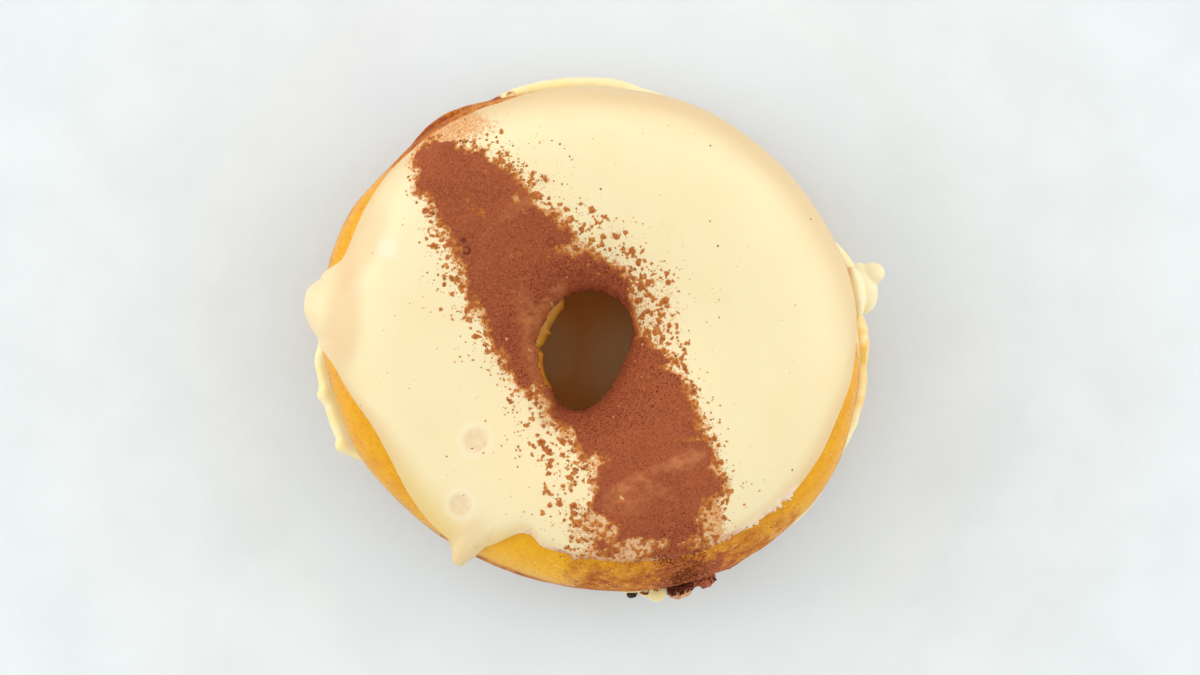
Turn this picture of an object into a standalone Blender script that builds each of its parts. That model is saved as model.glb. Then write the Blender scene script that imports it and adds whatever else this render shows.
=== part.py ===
"""A ring doughnut, cut through and filled with cream, under pale icing with a stripe of cocoa.

Metres, +Z up. The origin is at the middle of the underside. X and Y are the right and the
top of the picture when the doughnut is seen from straight above. A bearing is an angle round
the ring in degrees, anticlockwise from +X. The doughnut is hand made, so each outline is a
circle with a few slow waves, plus a named hump wherever icing or cream runs over.
"""

import random

import bmesh
import bpy
import numpy as np
from mathutils import Vector

# Driving sizes
DOUGH_RADIUS = 0.0457
ICING_RADIUS = 0.0446
HOLE_RADIUS = 0.00914
RING_CENTRE = np.array([0.0002, 0.0006])
HOLE_CENTRE = RING_CENTRE + np.array([-0.0019, -0.0023])
LOWER_HEIGHT = 0.0148
CREAM_HEIGHT = 0.0050
UPPER_HEIGHT = 0.0172
ICING_THICKNESS = 0.0013
GAP = 0.0003

# Roundness of a section: 2 is an ellipse, and more is squarer
UPPER_ROUNDNESS = 2.4
LOWER_ROUNDNESS = 2.15
FOOT_INNER = 0.32
FOOT_OUTER = 0.72

# Slow waves of the outlines: times round the ring, height, bearing of the peak
DOUGH_WAVES = ((1, 0.0008, -165), (2, 0.0020, -22), (3, 0.00045, -58))
ICING_WAVES = ((1, 0.0007, 143), (2, 0.00095, -12), (3, 0.0006, 34), (4, 0.0003, -3))
HOLE_WAVES = ((1, 0.00095, 148), (2, 0.00125, 67), (3, 0.00024, 30))
CUT_WAVES = ((1, 0.00035, 70), (2, 0.00030, 15), (5, 0.00012, 40))
CREAM_WAVES = ((7, 0.00015, 20), (11, 0.00020, 8), (17, 0.00012, 5))
CROWN_WAVES = ((1, 0.0005, 20), (2, 0.0003, 100), (3, 0.00015, 50))

CREAM_SUNK = 0.0009
# The last tenth of the cream's section starts a little inside the dough's edge
MOUTH_DEPTH = 0.0024
MOUTH_SHARE = 0.9
# From just outside the dough, the squeezed cream swells and droops over this width
FREE_FROM = 0.0006
FREE_WIDTH = 0.0015
FREE_SWELLING = 0.25
FREE_DROOP = 0.0004

# The icing's edge
BARE_FROM_RIM = 0.0007
LIP_THICKNESS = 0.0007
HOLE_LIP_THICKNESS = 0.0008
LOWEST_REACH = 0.985
PLAIN_START_TURN = 11.0
HOLE_END_TURN = 168.0

# The cocoa stripe crosses the ring along this line, from top left to bottom right
STRIPE_START = RING_CENTRE + np.array([-0.0244, 0.0356])
STRIPE_END = RING_CENTRE + np.array([0.0143, -0.0411])
STRIPE_RELIEF = 0.00035
STRIPE_SOFTNESS = 0.0012
# Distance along the stripe, its middle's offset to the right, and half its width
STRIPE_STATIONS = (
    (-0.002, -0.0049, 0.0030),
    (0.014, -0.0018, 0.0076),
    (0.027, 0.0000, 0.0099),
    (0.051, 0.0037, 0.0122),
    (0.065, 0.0041, 0.0099),
    (0.078, 0.0018, 0.0078),
    (0.090, 0.0005, 0.0040),
)
CLUMP_COUNT = 40
CLUMP_RADII = (0.00052, 0.00078)
CLUMP_SPACING = 0.0024
CLUMP_SPREAD = 0.0045
CLUMP_SINK = 0.00015

# How finely each ring is turned
LOWER_TURNS = 72
CREAM_TURNS = 84
UPPER_TURNS = 92

# Lobes of cream on the rim: bearing, distance from the axis, height over the cream's middle,
# and the half sizes across, along the rim and upright
RIM_LOBES = (
    (10.5, 0.0471, 0.0002, (0.0029, 0.0045, 0.0028)),
    (12.9, 0.0493, 0.0004, (0.0025, 0.0020, 0.0020)),
    (283.2, 0.0463, -0.0004, (0.0016, 0.0016, 0.0017)),
)
# Lobes of cream that cocoa has fallen on
COCOA_LOBES = (
    (288.2, 0.0464, 0.0002, (0.0019, 0.0023, 0.0022)),
    (291.2, 0.0457, 0.0003, (0.0017, 0.0020, 0.0019)),
    (294.0, 0.0464, 0.0003, (0.0018, 0.0019, 0.0020)),
    (299.5, 0.0457, 0.0001, (0.0012, 0.0017, 0.0016)),
)
FLECK = (277.8, 0.0457, 0.0003, (0.0007, 0.0010, 0.0006))

# Colours, as linear values
COLOURS = {
    "dough_base": (0.58, 0.24, 0.045),
    "cream_filling": (0.90, 0.76, 0.44),
    "dough_top": (0.72, 0.34, 0.060),
    "icing": (0.93, 0.79, 0.47),
}
ROUGHNESS = {"dough_base": 0.5, "cream_filling": 0.4, "dough_top": 0.45, "icing": 0.3}


def swell(bearing, waves):
    """The sum of slow waves round the ring."""
    return sum(height * np.cos(times * np.radians(bearing - peak)) for times, height, peak in waves)


def hump(bearing, start, peak, end):
    """A smooth hump: 1 at its peak, and 0 outside its start and end."""
    away = (bearing - peak + 180.0) % 360.0 - 180.0
    span = np.where(away < 0.0, (peak - start) % 360.0, (end - peak) % 360.0)
    return 0.5 + 0.5 * np.cos(np.pi * np.clip(np.abs(away) / span, 0.0, 1.0))


def ease(value):
    """A smooth step from 0 to 1."""
    value = np.clip(value, 0.0, 1.0)
    return value * value * (3.0 - 2.0 * value)


def stretch_of(bearing, start, end, edge):
    """1 between two bearings, easing to 0 over the edge outside them."""
    middle = (start + end) / 2.0
    away = np.abs((bearing - middle + 180.0) % 360.0 - 180.0)
    return ease(((end - start) / 2.0 + edge - away) / edge)


def dough_rim(bearing):
    """The outer edge that both halves share, with two flats and a swelling."""
    flats = 0.0007 * hump(bearing, 128, 142, 154) + 0.0006 * hump(bearing, 174, 192, 208)
    swelling = 0.0006 * hump(bearing, 302, 328, 350)
    return DOUGH_RADIUS + swell(bearing, DOUGH_WAVES) + swelling - flats


def lower_rim(bearing):
    """The outer edge of the lower half, with a ledge at the upper left."""
    return dough_rim(bearing) + 0.0014 * hump(bearing, 108, 124, 142)


def upper_rim(bearing):
    """The outer edge of the upper half, drawn in where icing covers its side."""
    return dough_rim(bearing) - 0.0010 * hump(bearing, 335, 68, 142)


def icing_rim(bearing):
    """The icing's outer edge: a lobe at the left, a drip, and a bare stretch at the bottom."""
    lobe = 0.0052 * hump(bearing, 162.5, 173, 188)
    drip = 0.0043 * hump(bearing, 233, 238.9, 242.4)
    dips = 0.0030 * hump(bearing, 182, 203, 233) + 0.0010 * hump(bearing, 138, 160, 169)
    dips = dips + 0.0004 * hump(bearing, 92, 112, 128) + 0.0005 * hump(bearing, 320, 340, 353)
    full = 0.0005 * hump(bearing, 40, 72, 95)
    bare = 0.0064 * hump(bearing, 236, 250.5, 335)
    notch = 0.0013 * hump(bearing, 243, 251.5, 256.5)
    return ICING_RADIUS + swell(bearing, ICING_WAVES) + lobe + drip + full - dips - bare - notch


def icing_hole(bearing):
    """The icing's edge round the hole, from the hole's own centre."""
    uneven = 0.0004 * hump(bearing, 235, 265, 295) - 0.0006 * hump(bearing, 105, 152, 200)
    return HOLE_RADIUS + swell(bearing, HOLE_WAVES) + uneven


def upper_hole(bearing):
    """The upper half's edge round the hole, which shows past the icing at the lower left."""
    return icing_hole(bearing) + 0.0005 - 0.0020 * stretch_of(bearing, 186, 228, 16)


def lower_hole(bearing):
    """The lower half's edge round the hole, just behind the upper half's."""
    return upper_hole(bearing) + 0.0005


def cream_rim(bearing):
    """The cream's outer edge: sunk in a little, and squeezed out in bands on five sides."""
    bands = 0.0030 * hump(bearing, 322, 356, 18) + 0.0036 * stretch_of(bearing, 186, 203, 9)
    bands = bands + 0.0026 * hump(bearing, 60, 94, 130) + 0.0014 * hump(bearing, 304, 320, 336)
    bands = bands + 0.0013 * stretch_of(bearing, 277, 301, 7) + 0.0028 * hump(bearing, 6, 15, 27)
    bands = bands + 0.0007 * hump(bearing, 190, 192, 194.5) + 0.0008 * hump(bearing, 201, 203, 206)
    return dough_rim(bearing) - CREAM_SUNK + bands + swell(bearing, CREAM_WAVES)


def cream_hole(bearing):
    """The cream's edge round the hole, squeezed out at the upper left with one ragged tip."""
    squeezed = 0.0021 * stretch_of(bearing, 120, 170, 12) + 0.0006 * hump(bearing, 149, 155, 161)
    return upper_hole(bearing) + 0.0004 - squeezed


def lower_cut(bearing):
    """The height of the lower half's cut face."""
    return LOWER_HEIGHT + swell(bearing, CUT_WAVES)


def upper_cut(bearing):
    """The height of the upper half's cut face."""
    return lower_cut(bearing) + CREAM_HEIGHT


def crown_height(bearing):
    """The height of the upper half over its cut face."""
    return UPPER_HEIGHT + swell(bearing, CROWN_WAVES)


def pointing(bearing):
    """Unit vectors along bearings."""
    turn = np.radians(bearing)
    return np.stack([np.cos(turn), np.sin(turn)], axis=-1)


def from_centre(flat):
    """Distances from the ring's centre, seen from above."""
    return np.linalg.norm(flat - RING_CENTRE, axis=1)


def edges(bearing, hole, rim):
    """The two ends of the section at a bearing: on the hole's edge and on the outer edge."""
    inner = HOLE_CENTRE + pointing(bearing) * hole[:, None]
    return inner, RING_CENTRE + pointing(bearing) * rim[:, None]


def upper_section(bearing):
    """The middle, direction and half width of the upper half's section."""
    inner, outer = edges(bearing, upper_hole(bearing), upper_rim(bearing))
    half = np.linalg.norm(outer - inner, axis=1) / 2.0
    return (inner + outer) / 2.0, (outer - inner) / (2.0 * half[:, None]), half


def icing_start(bearing):
    """How far up the section's back the icing's outer edge lies, in degrees of turn."""
    middle, _, half = upper_section(bearing)
    reach = (icing_rim(bearing) - BARE_FROM_RIM - from_centre(middle)) / half
    turn = np.degrees(np.arccos(np.clip(reach, 0.0, LOWEST_REACH) ** (UPPER_ROUNDNESS / 2.0)))
    hanging = 0.5 * hump(bearing, 162, 172.5, 186) + 0.5 * hump(bearing, 234.5, 238.8, 242.2)
    return turn * (1.0 - hanging)


def icing_end(bearing):
    """How far over the section's back the icing reaches into the hole, in degrees of turn."""
    return HOLE_END_TURN - 12.0 * stretch_of(bearing, 186, 226, 16)


def turn_along(bearing, along):
    """The turn at a station: 0 is the icing's outer edge, 1 its inner edge, -1 and 2 the cuts."""
    start, end = icing_start(bearing), icing_end(bearing)
    even = PLAIN_START_TURN + (HOLE_END_TURN - PLAIN_START_TURN) * along
    from_rim, from_hole = np.clip(1.0 - along, 0.0, 1.0), np.clip(along, 0.0, 1.0)
    iced = even + (start - PLAIN_START_TURN) * from_rim ** 2
    iced = iced + (end - HOLE_END_TURN) * from_hole ** 4
    bare_outside = start * (1.0 + along)
    bare_inside = end + (180.0 - end) * (along - 1.0)
    return np.where(along < 0.0, bare_outside, np.where(along > 1.0, bare_inside, iced))


def upper_back(bearing, along, clearance):
    """Points over the upper half's rounded back, at a clearance from it."""
    middle, outward, half = upper_section(bearing)
    crown = crown_height(bearing)
    turn = np.radians(turn_along(bearing, along))
    cosine, sine = np.cos(turn), np.abs(np.sin(turn))
    power = 2.0 / UPPER_ROUNDNESS
    across = half * np.sign(cosine) * np.abs(cosine) ** power
    up = crown * sine ** power
    slope_out = np.sign(cosine) * np.abs(cosine) ** (2.0 - power) / half
    slope_up = sine ** (2.0 - power) / crown
    length = np.hypot(slope_out, slope_up)
    across = across + clearance * slope_out / length
    up = up + clearance * slope_up / length
    flat = middle + outward * across[:, None]
    return np.column_stack([flat, upper_cut(bearing) + up])


def icing_thickness(bearing, along):
    """Even over the back, thin at the hole, and swollen at the ends of the lobe and the drip."""
    overhang = icing_rim(bearing) - upper_rim(bearing) - GAP
    rim_lip = np.clip(overhang, LIP_THICKNESS, 2.2 * ICING_THICKNESS)
    near_rim = ease(1.0 - along / 0.3)
    near_hole = ease((along - 0.85) / 0.15)
    thickness = ICING_THICKNESS + (rim_lip - ICING_THICKNESS) * near_rim
    return thickness + (HOLE_LIP_THICKNESS - ICING_THICKNESS) * near_hole


def stripe_cover(place):
    """1 inside the cocoa stripe and 0 well outside it, for points seen from above."""
    depth = stripe_depth(place)
    return ease(0.5 + depth / (2.0 * STRIPE_SOFTNESS))


def stripe_depth(place):
    """How far inside the cocoa stripe a point is, as seen from above."""
    length = np.linalg.norm(STRIPE_END - STRIPE_START)
    run = (STRIPE_END - STRIPE_START) / length
    right = np.array([-run[1], run[0]])
    from_start = place[:, :2] - STRIPE_START
    along, offset = from_start @ run, from_start @ right
    stations, middles, widths = np.array(STRIPE_STATIONS).T
    return np.interp(along, stations, widths) - np.abs(offset - np.interp(along, stations, middles))


def crowd(bearing):
    """Slides the turns towards the lobe and the drip, which need the finest steps."""
    grid = np.linspace(0.0, 360.0, 721)
    density = 1.0 + 1.6 * hump(grid, 150, 173, 196) + 2.2 * hump(grid, 222, 242, 262)
    total = np.concatenate([[0.0], np.cumsum((density[1:] + density[:-1]) / 2.0)])
    return np.interp(bearing, total / total[-1] * 360.0, grid)


def shape_lower(bearing, share, level):
    """The lower half: level is 0 on the underside and 1 on the cut face."""
    inner, outer = edges(bearing, lower_hole(bearing), lower_rim(bearing))
    flat = inner + (outer - inner) * share[:, None]
    return np.column_stack([flat, level * lower_cut(bearing)])


def shape_cream(bearing, share, level):
    """The cream: level is 1 on its upper face and -1 on its lower face."""
    inner, mouth = edges(bearing, cream_hole(bearing), lower_rim(bearing) - MOUTH_DEPTH)
    outer = RING_CENTRE + pointing(bearing) * cream_rim(bearing)[:, None]
    inside = inner + (mouth - inner) * (share / MOUTH_SHARE)[:, None]
    outside = mouth + (outer - mouth) * ((share - MOUTH_SHARE) / (1.0 - MOUTH_SHARE))[:, None]
    flat = np.where(share[:, None] > MOUTH_SHARE, outside, inside)
    free = np.clip((from_centre(flat) - lower_rim(bearing) - FREE_FROM) / FREE_WIDTH, 0.0, 1.0)
    half = (CREAM_HEIGHT / 2.0 - GAP) * (1.0 + FREE_SWELLING * free)
    middle = lower_cut(bearing) + CREAM_HEIGHT / 2.0 - FREE_DROOP * free
    return np.column_stack([flat, middle + level * half])


def shape_upper(bearing, along, level):
    """The upper half: level is 1 on its rounded back and 0 on its cut face."""
    bearing = crowd(bearing)
    back = upper_back(bearing, along, 0.0)
    middle, outward, half = upper_section(bearing)
    share = 1.0 - 2.0 * (along + 1.0) / 3.0
    flat = middle + outward * (half * share)[:, None]
    cut = np.column_stack([flat, upper_cut(bearing)])
    return np.where(level[:, None] > 0.5, back, cut)


def shape_icing(bearing, along, level):
    """The icing: level is 0 on its inner face and 1 on its outer face."""
    bearing = crowd(bearing)
    clearance = GAP + level * icing_thickness(bearing, along)
    place = upper_back(bearing, along, clearance)
    relief = STRIPE_RELIEF * stripe_cover(place) * level * ease(along / 0.1) * ease((1.0 - along) / 0.1)
    place[:, 2] += relief
    return place


def lower_profile():
    """Section of the lower half: up the outside, over the cut and down the hole's wall."""
    turns = np.radians(np.linspace(88.0, 6.0, 6))
    power = 2.0 / LOWER_ROUNDNESS
    swing = np.cos(turns) ** power
    level = 1.0 - np.sin(turns) ** power
    outside = list(zip(FOOT_OUTER + (1.0 - FOOT_OUTER) * swing, level))
    outside[0] = (FOOT_OUTER, 0.0)
    inside = list(zip(FOOT_INNER - FOOT_INNER * swing, level))[::-1]
    inside[-1] = (FOOT_INNER, 0.0)
    return outside + [(0.985, 1.0), (0.5, 1.0), (0.015, 1.0)] + inside


def cream_profile():
    """Section of the cream: a flat layer with rounded ends."""
    face = [0.04, 0.47, MOUTH_SHARE, 0.955]
    hole_end = [(0.012, -0.7), (0.0, 0.0), (0.012, 0.7)]
    rim_end = [(0.985, 0.8), (1.0, 0.3), (1.0, -0.3), (0.985, -0.8)]
    return hole_end + [(share, 1.0) for share in face] + rim_end + [(share, -1.0) for share in face[::-1]]


def iced_stations():
    """Stations along the iced back, closer together at its two shoulders."""
    even = np.linspace(0.0, 1.0, 9)
    return even - 0.035 * np.sin(2.0 * np.pi * even)


def upper_profile():
    """Section of the upper half, as stations along its back and its cut face."""
    back = [-0.85, -0.6, -0.3] + list(iced_stations()) + [1.6]
    return [(along, 1.0) for along in back] + [(1.94, 0.0), (0.5, 0.0), (-0.96, 0.0)]


def icing_profile():
    """Section of the icing: its inner face, and an outer face with rounded lips."""
    inner = [(along, 0.0) for along in iced_stations()]
    outer = [(along, 1.0) for along in iced_stations()[1:-1]]
    rim_lip = [(-0.012, 0.35), (0.004, 0.8)]
    hole_lip = [(0.997, 0.8), (1.005, 0.35)]
    return inner + hole_lip[::-1] + outer[::-1] + rim_lip[::-1]


def collection(name):
    """A new collection in the scene."""
    group = bpy.data.collections.new(name)
    bpy.context.scene.collection.children.link(group)
    return group


def turned_ring(name, profile, turns, group):
    """A plain ring turned from a closed profile, one unit out from the axis."""
    mesh = bpy.data.meshes.new(name)
    points = [(2.0 + first, 0.0, second) for first, second in profile]
    sides = [(here, (here + 1) % len(points)) for here in range(len(points))]
    mesh.from_pydata(points, sides, [])
    ring = bpy.data.objects.new(name, mesh)
    group.objects.link(ring)
    screw = ring.modifiers.new("turn", "SCREW")
    screw.angle = 2.0 * np.pi
    screw.steps = turns
    screw.render_steps = turns
    screw.use_merge_vertices = True
    screw.merge_threshold = 0.0001
    apply_modifiers(ring)
    return ring


def apply_modifiers(piece):
    """Keeps the evaluated mesh as the piece's own."""
    bpy.context.view_layer.update()
    evaluated = piece.evaluated_get(bpy.context.evaluated_depsgraph_get())
    mesh = bpy.data.meshes.new_from_object(evaluated)
    piece.modifiers.clear()
    piece.data = mesh


def face_outwards(mesh):
    """Turns every face to point out, and shades the mesh smooth."""
    work = bmesh.new()
    work.from_mesh(mesh)
    bmesh.ops.recalc_face_normals(work, faces=work.faces)
    work.to_mesh(mesh)
    work.free()
    mesh.shade_smooth()


def mould(ring, shape):
    """Moves a plain ring's points to where the shape puts them."""
    count = len(ring.data.vertices)
    flat = np.empty(count * 3)
    ring.data.vertices.foreach_get("co", flat)
    x, y, second = flat.reshape(count, 3).T
    bearing = np.degrees(np.arctan2(y, x)) % 360.0
    first = np.hypot(x, y) - 2.0
    ring.data.vertices.foreach_set("co", shape(bearing, first, second).ravel())
    face_outwards(ring.data)


def finish_with(piece, name):
    """Gives a piece its own material."""
    material = bpy.data.materials.new(name)
    material.use_nodes = True
    surface = material.node_tree.nodes["Principled BSDF"]
    surface.inputs["Base Color"].default_value = (*COLOURS[name], 1.0)
    surface.inputs["Roughness"].default_value = ROUGHNESS[name]
    piece.data.materials.clear()
    piece.data.materials.append(material)


def lump(name, place, radii, bearing, rounds, rough, chance, group):
    """A rounded lump with uneven sides, long ways set to a bearing."""
    work = bmesh.new()
    bmesh.ops.create_icosphere(work, subdivisions=rounds, radius=1.0)
    turn = np.radians(bearing)
    out = Vector((np.cos(turn), np.sin(turn), 0.0))
    side = Vector((-np.sin(turn), np.cos(turn), 0.0))
    for vertex in work.verts:
        across, beside, up = vertex.co * (1.0 + rough * chance.uniform(-1.0, 1.0))
        vertex.co = place + out * across * radii[0] + side * beside * radii[1]
        vertex.co.z += up * radii[2]
    mesh = bpy.data.meshes.new(name)
    work.to_mesh(mesh)
    work.free()
    piece = bpy.data.objects.new(name, mesh)
    group.objects.link(piece)
    return piece


def rim_place(bearing, distance, height):
    """A place beside the rim, at a height over the cream's middle."""
    flat = RING_CENTRE + distance * pointing(bearing)
    return Vector((*flat, lower_cut(bearing) + CREAM_HEIGHT / 2.0 + height))


def fuse(piece, group):
    """Joins a collection of closed pieces to one piece, and removes them."""
    union = piece.modifiers.new("fuse", "BOOLEAN")
    union.operation = "UNION"
    union.solver = "EXACT"
    union.operand_type = "COLLECTION"
    union.collection = group
    apply_modifiers(piece)
    for extra in list(group.objects):
        bpy.data.objects.remove(extra)
    bpy.data.collections.remove(group)
    face_outwards(piece.data)


def add_cream_lobes(cream):
    """Cream squeezed out over the rim, cocoa-covered lobes and one fleck of chocolate."""
    chance = random.Random(11)
    group = collection("cream lobes")
    for bearing, distance, height, radii in RIM_LOBES + COCOA_LOBES:
        place = rim_place(bearing, distance, height)
        lump("lobe", place, radii, bearing, 2, 0.07, chance, group)
    bearing, distance, height, radii = FLECK
    lump("fleck", rim_place(bearing, distance, height), radii, bearing, 1, 0.12, chance, group)
    fuse(cream, group)


def clump_places(chance):
    """Places of cocoa clumps scattered along the stripe's two edges."""
    chosen = []
    while len(chosen) < CLUMP_COUNT:
        bearing, along = chance.uniform(0.0, 360.0), chance.uniform(0.12, 0.86)
        place = icing_top(bearing, along)
        outside = -stripe_depth(place[None, :])[0]
        near_edge = -0.0006 < outside < CLUMP_SPREAD * chance.random() ** 1.5
        apart = all(np.linalg.norm(place - other) > CLUMP_SPACING for other in chosen)
        if near_edge and apart:
            chosen.append(place)
    return chosen


def icing_top(bearing, along):
    """One point on the icing's outer face."""
    bearing, along = np.array([bearing]), np.array([along])
    thickness = icing_thickness(bearing, along)
    return upper_back(bearing, along, GAP + thickness)[0]


def add_cocoa_clumps(icing):
    """The largest clumps of cocoa, half sunk in the icing beside the stripe."""
    chance = random.Random(5)
    group = collection("cocoa clumps")
    for place in clump_places(chance):
        size = chance.uniform(*CLUMP_RADII)
        radii = (size, size * chance.uniform(0.8, 1.2), size * 0.8)
        centre = Vector(place) - Vector((0.0, 0.0, CLUMP_SINK))
        lump("clump", centre, radii, chance.uniform(0.0, 360.0), 1, 0.12, chance, group)
    fuse(icing, group)


def build():
    """Makes the four pieces of the doughnut."""
    for leftover in list(bpy.data.objects):
        bpy.data.objects.remove(leftover)
    group = collection("tiramisu_doughnut")
    base = turned_ring("dough_base", lower_profile(), LOWER_TURNS, group)
    cream = turned_ring("cream_filling", cream_profile(), CREAM_TURNS, group)
    top = turned_ring("dough_top", upper_profile(), UPPER_TURNS, group)
    icing = turned_ring("icing", icing_profile(), UPPER_TURNS, group)
    mould(base, shape_lower)
    mould(cream, shape_cream)
    mould(top, shape_upper)
    mould(icing, shape_icing)
    add_cream_lobes(cream)
    add_cocoa_clumps(icing)
    for piece in (base, cream, top, icing):
        finish_with(piece, piece.name)


build()
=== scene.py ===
"""Looks of a filled ring doughnut: fried dough, cream, pale icing and a stripe of cocoa.

Metres, +Z up, in the frame of the solids, which each piece here replaces at a finer scale.
A bearing is an angle round the ring in degrees, anticlockwise from +X. A station along the
iced back is 0 at the icing's outer edge and 1 at its edge in the hole.
"""

import random
from itertools import product

import bmesh
import bpy
import numpy as np
from mathutils import Matrix, Vector
from mathutils.bvhtree import BVHTree


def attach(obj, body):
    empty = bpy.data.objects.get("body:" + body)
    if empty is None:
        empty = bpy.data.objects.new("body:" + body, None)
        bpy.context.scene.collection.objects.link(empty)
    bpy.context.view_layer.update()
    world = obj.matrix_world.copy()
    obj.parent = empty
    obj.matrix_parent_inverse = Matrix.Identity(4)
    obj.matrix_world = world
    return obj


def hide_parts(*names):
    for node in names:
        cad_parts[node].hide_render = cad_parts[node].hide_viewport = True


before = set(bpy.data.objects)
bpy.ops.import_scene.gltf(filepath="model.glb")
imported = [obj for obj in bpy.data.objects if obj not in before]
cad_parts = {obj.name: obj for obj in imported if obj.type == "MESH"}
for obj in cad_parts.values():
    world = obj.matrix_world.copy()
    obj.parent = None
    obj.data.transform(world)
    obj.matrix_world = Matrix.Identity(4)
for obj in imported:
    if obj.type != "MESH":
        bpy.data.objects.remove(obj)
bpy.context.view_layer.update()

# Driving sizes, the same as the solids'
DOUGH_RADIUS = 0.0457
ICING_RADIUS = 0.0446
HOLE_RADIUS = 0.00914
RING_CENTRE = np.array([0.0002, 0.0006])
HOLE_CENTRE = RING_CENTRE + np.array([-0.0019, -0.0023])
LOWER_HEIGHT = 0.0148
CREAM_HEIGHT = 0.0050
UPPER_HEIGHT = 0.0172
ICING_THICKNESS = 0.0013
GAP = 0.0003
UPPER_ROUNDNESS = 2.4
LOWER_ROUNDNESS = 2.15
FOOT_INNER = 0.32
FOOT_OUTER = 0.72

# Slow waves of the outlines: times round the ring, height, bearing of the peak
DOUGH_WAVES = ((1, 0.0008, -165), (2, 0.0020, -22), (3, 0.00045, -58))
ICING_WAVES = ((1, 0.0007, 143), (2, 0.00095, -12), (3, 0.0006, 34), (4, 0.0003, -3))
HOLE_WAVES = ((1, 0.00095, 148), (2, 0.00125, 67), (3, 0.00024, 30))
CUT_WAVES = ((1, 0.00035, 70), (2, 0.00030, 15), (5, 0.00012, 40))
CREAM_WAVES = ((7, 0.00015, 20), (11, 0.00020, 8), (17, 0.00012, 5))
CROWN_WAVES = ((1, 0.0005, 20), (2, 0.0003, 100), (3, 0.00015, 50))

# How the cream and the icing end, the same as in the solids
CREAM_SUNK = 0.0009
MOUTH_DEPTH = 0.0024
MOUTH_SHARE = 0.9
FREE_FROM = 0.0006
FREE_WIDTH = 0.0015
FREE_SWELLING = 0.25
FREE_DROOP = 0.0004
BARE_FROM_RIM = 0.0007
LIP_THICKNESS = 0.0007
HOLE_LIP_THICKNESS = 0.0008
LOWEST_REACH = 0.985
PLAIN_START_TURN = 11.0
HOLE_END_TURN = 168.0

# The share of the iced back that the torn edge takes up
TORN_WIDTH = 0.06

# Pieces that touch keep this much between them here
TOUCHING = 0.00006

# The cocoa stripe's line, and its clumps, the same as the solids'
STRIPE_START = RING_CENTRE + np.array([-0.0244, 0.0356])
STRIPE_END = RING_CENTRE + np.array([0.0143, -0.0411])
STRIPE_STATIONS = (
    (-0.002, -0.0049, 0.0030),
    (0.014, -0.0018, 0.0076),
    (0.027, 0.0000, 0.0099),
    (0.051, 0.0037, 0.0122),
    (0.065, 0.0041, 0.0099),
    (0.078, 0.0018, 0.0078),
    (0.090, 0.0005, 0.0040),
)
CLUMP_COUNT = 40
CLUMP_RADII = (0.00052, 0.00078)
CLUMP_SPACING = 0.0024
CLUMP_SPREAD = 0.0045
CLUMP_SINK = 0.00015

# The stripe's edges in more detail, in millimetres: distance along it, left edge, right edge,
# and how far its crumbs lie to the left and to the right
STRIPE_EDGES = (
    (0, -7.2, -4.5, 3, 6),
    (2.6, -8.8, -0.3, 3, 6),
    (4.5, -9.7, 1.6, 3, 6),
    (6.9, -9.9, 3, 3, 6),
    (10.3, -8.8, 4.6, 4, 6),
    (13.8, -9.4, 6.2, 3, 6),
    (17.2, -8.5, 7.2, 5, 6),
    (20.7, -8.8, 8.2, 7, 7),
    (27.6, -10.3, 11, 6, 8),
    (34.5, -10.3, 14.8, 5, 8),
    (41.4, -10.3, 15, 4, 8),
    (44.8, -9.4, 13.8, 5, 8),
    (47.8, -8.6, 13.8, 6, 7),
    (49.6, -8.3, 15.8, 7, 5),
    (51.7, -8, 16, 8, 3),
    (58.6, -5.2, 15.6, 11, 2),
    (65.5, -5.5, 15, 11, 2),
    (69, -8.5, 14.7, 8, 3),
    (72.4, -11, 14, 6, 4),
    (75.8, -12.5, 12.5, 6, 5),
    (79.3, -10, 10.2, 8, 6),
    (82.7, -6, 7.5, 9, 5),
    (86.2, -3, 4.5, 7, 4),
)

# Cream squeezed out: bearing, distance from the axis, height over the cream's middle,
# and the half sizes across, along the rim and upright
RIM_LOBES = (
    (10.5, 0.0471, 0.0002, (0.0029, 0.0045, 0.0028)),
    (12.9, 0.0493, 0.0004, (0.0025, 0.0020, 0.0020)),
    (9.9, 0.0459, 0.0033, (0.0015, 0.0046, 0.0022)),
    (281.5, 0.0457, 0.0002, (0.0009, 0.0013, 0.0011)),
    (284.8, 0.0460, 0.0001, (0.0010, 0.0009, 0.0012)),
    (283.2, 0.0463, -0.0004, (0.0016, 0.0016, 0.0017)),
)
COCOA_LOBES = (
    (288.2, 0.0464, 0.0002, (0.0019, 0.0023, 0.0022)),
    (291.2, 0.0457, 0.0003, (0.0017, 0.0020, 0.0019)),
    (294.0, 0.0464, 0.0003, (0.0018, 0.0019, 0.0020)),
    (299.5, 0.0457, 0.0001, (0.0012, 0.0017, 0.0016)),
)
FLECK = (277.8, 0.0457, 0.0003, (0.0007, 0.0010, 0.0006))

# How finely each piece is made
ICING_TURNS = 1100
DOUGH_TURNS = 800
CREAM_TURNS = 900
COCOA_PITCH = 0.00022
CREAM_VOXEL = 0.00018
COCOA_VOXEL = 0.00014

# The camera looks straight down
CAMERA_PLACE = (0.000725, 0.0005125, 0.700)
VIEW_LEVEL = 0.020
VIEW_WIDTH = 0.210
SENSOR_WIDTH = 36.0


def swell(bearing, waves):
    """The sum of slow waves round the ring."""
    return sum(height * np.cos(times * np.radians(bearing - peak)) for times, height, peak in waves)


def hump(bearing, start, peak, end):
    """A smooth hump: 1 at its peak, and 0 outside its start and end."""
    away = (bearing - peak + 180.0) % 360.0 - 180.0
    width = np.where(away < 0.0, (peak - start) % 360.0, (end - peak) % 360.0)
    return 0.5 + 0.5 * np.cos(np.pi * np.clip(np.abs(away) / width, 0.0, 1.0))


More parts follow.
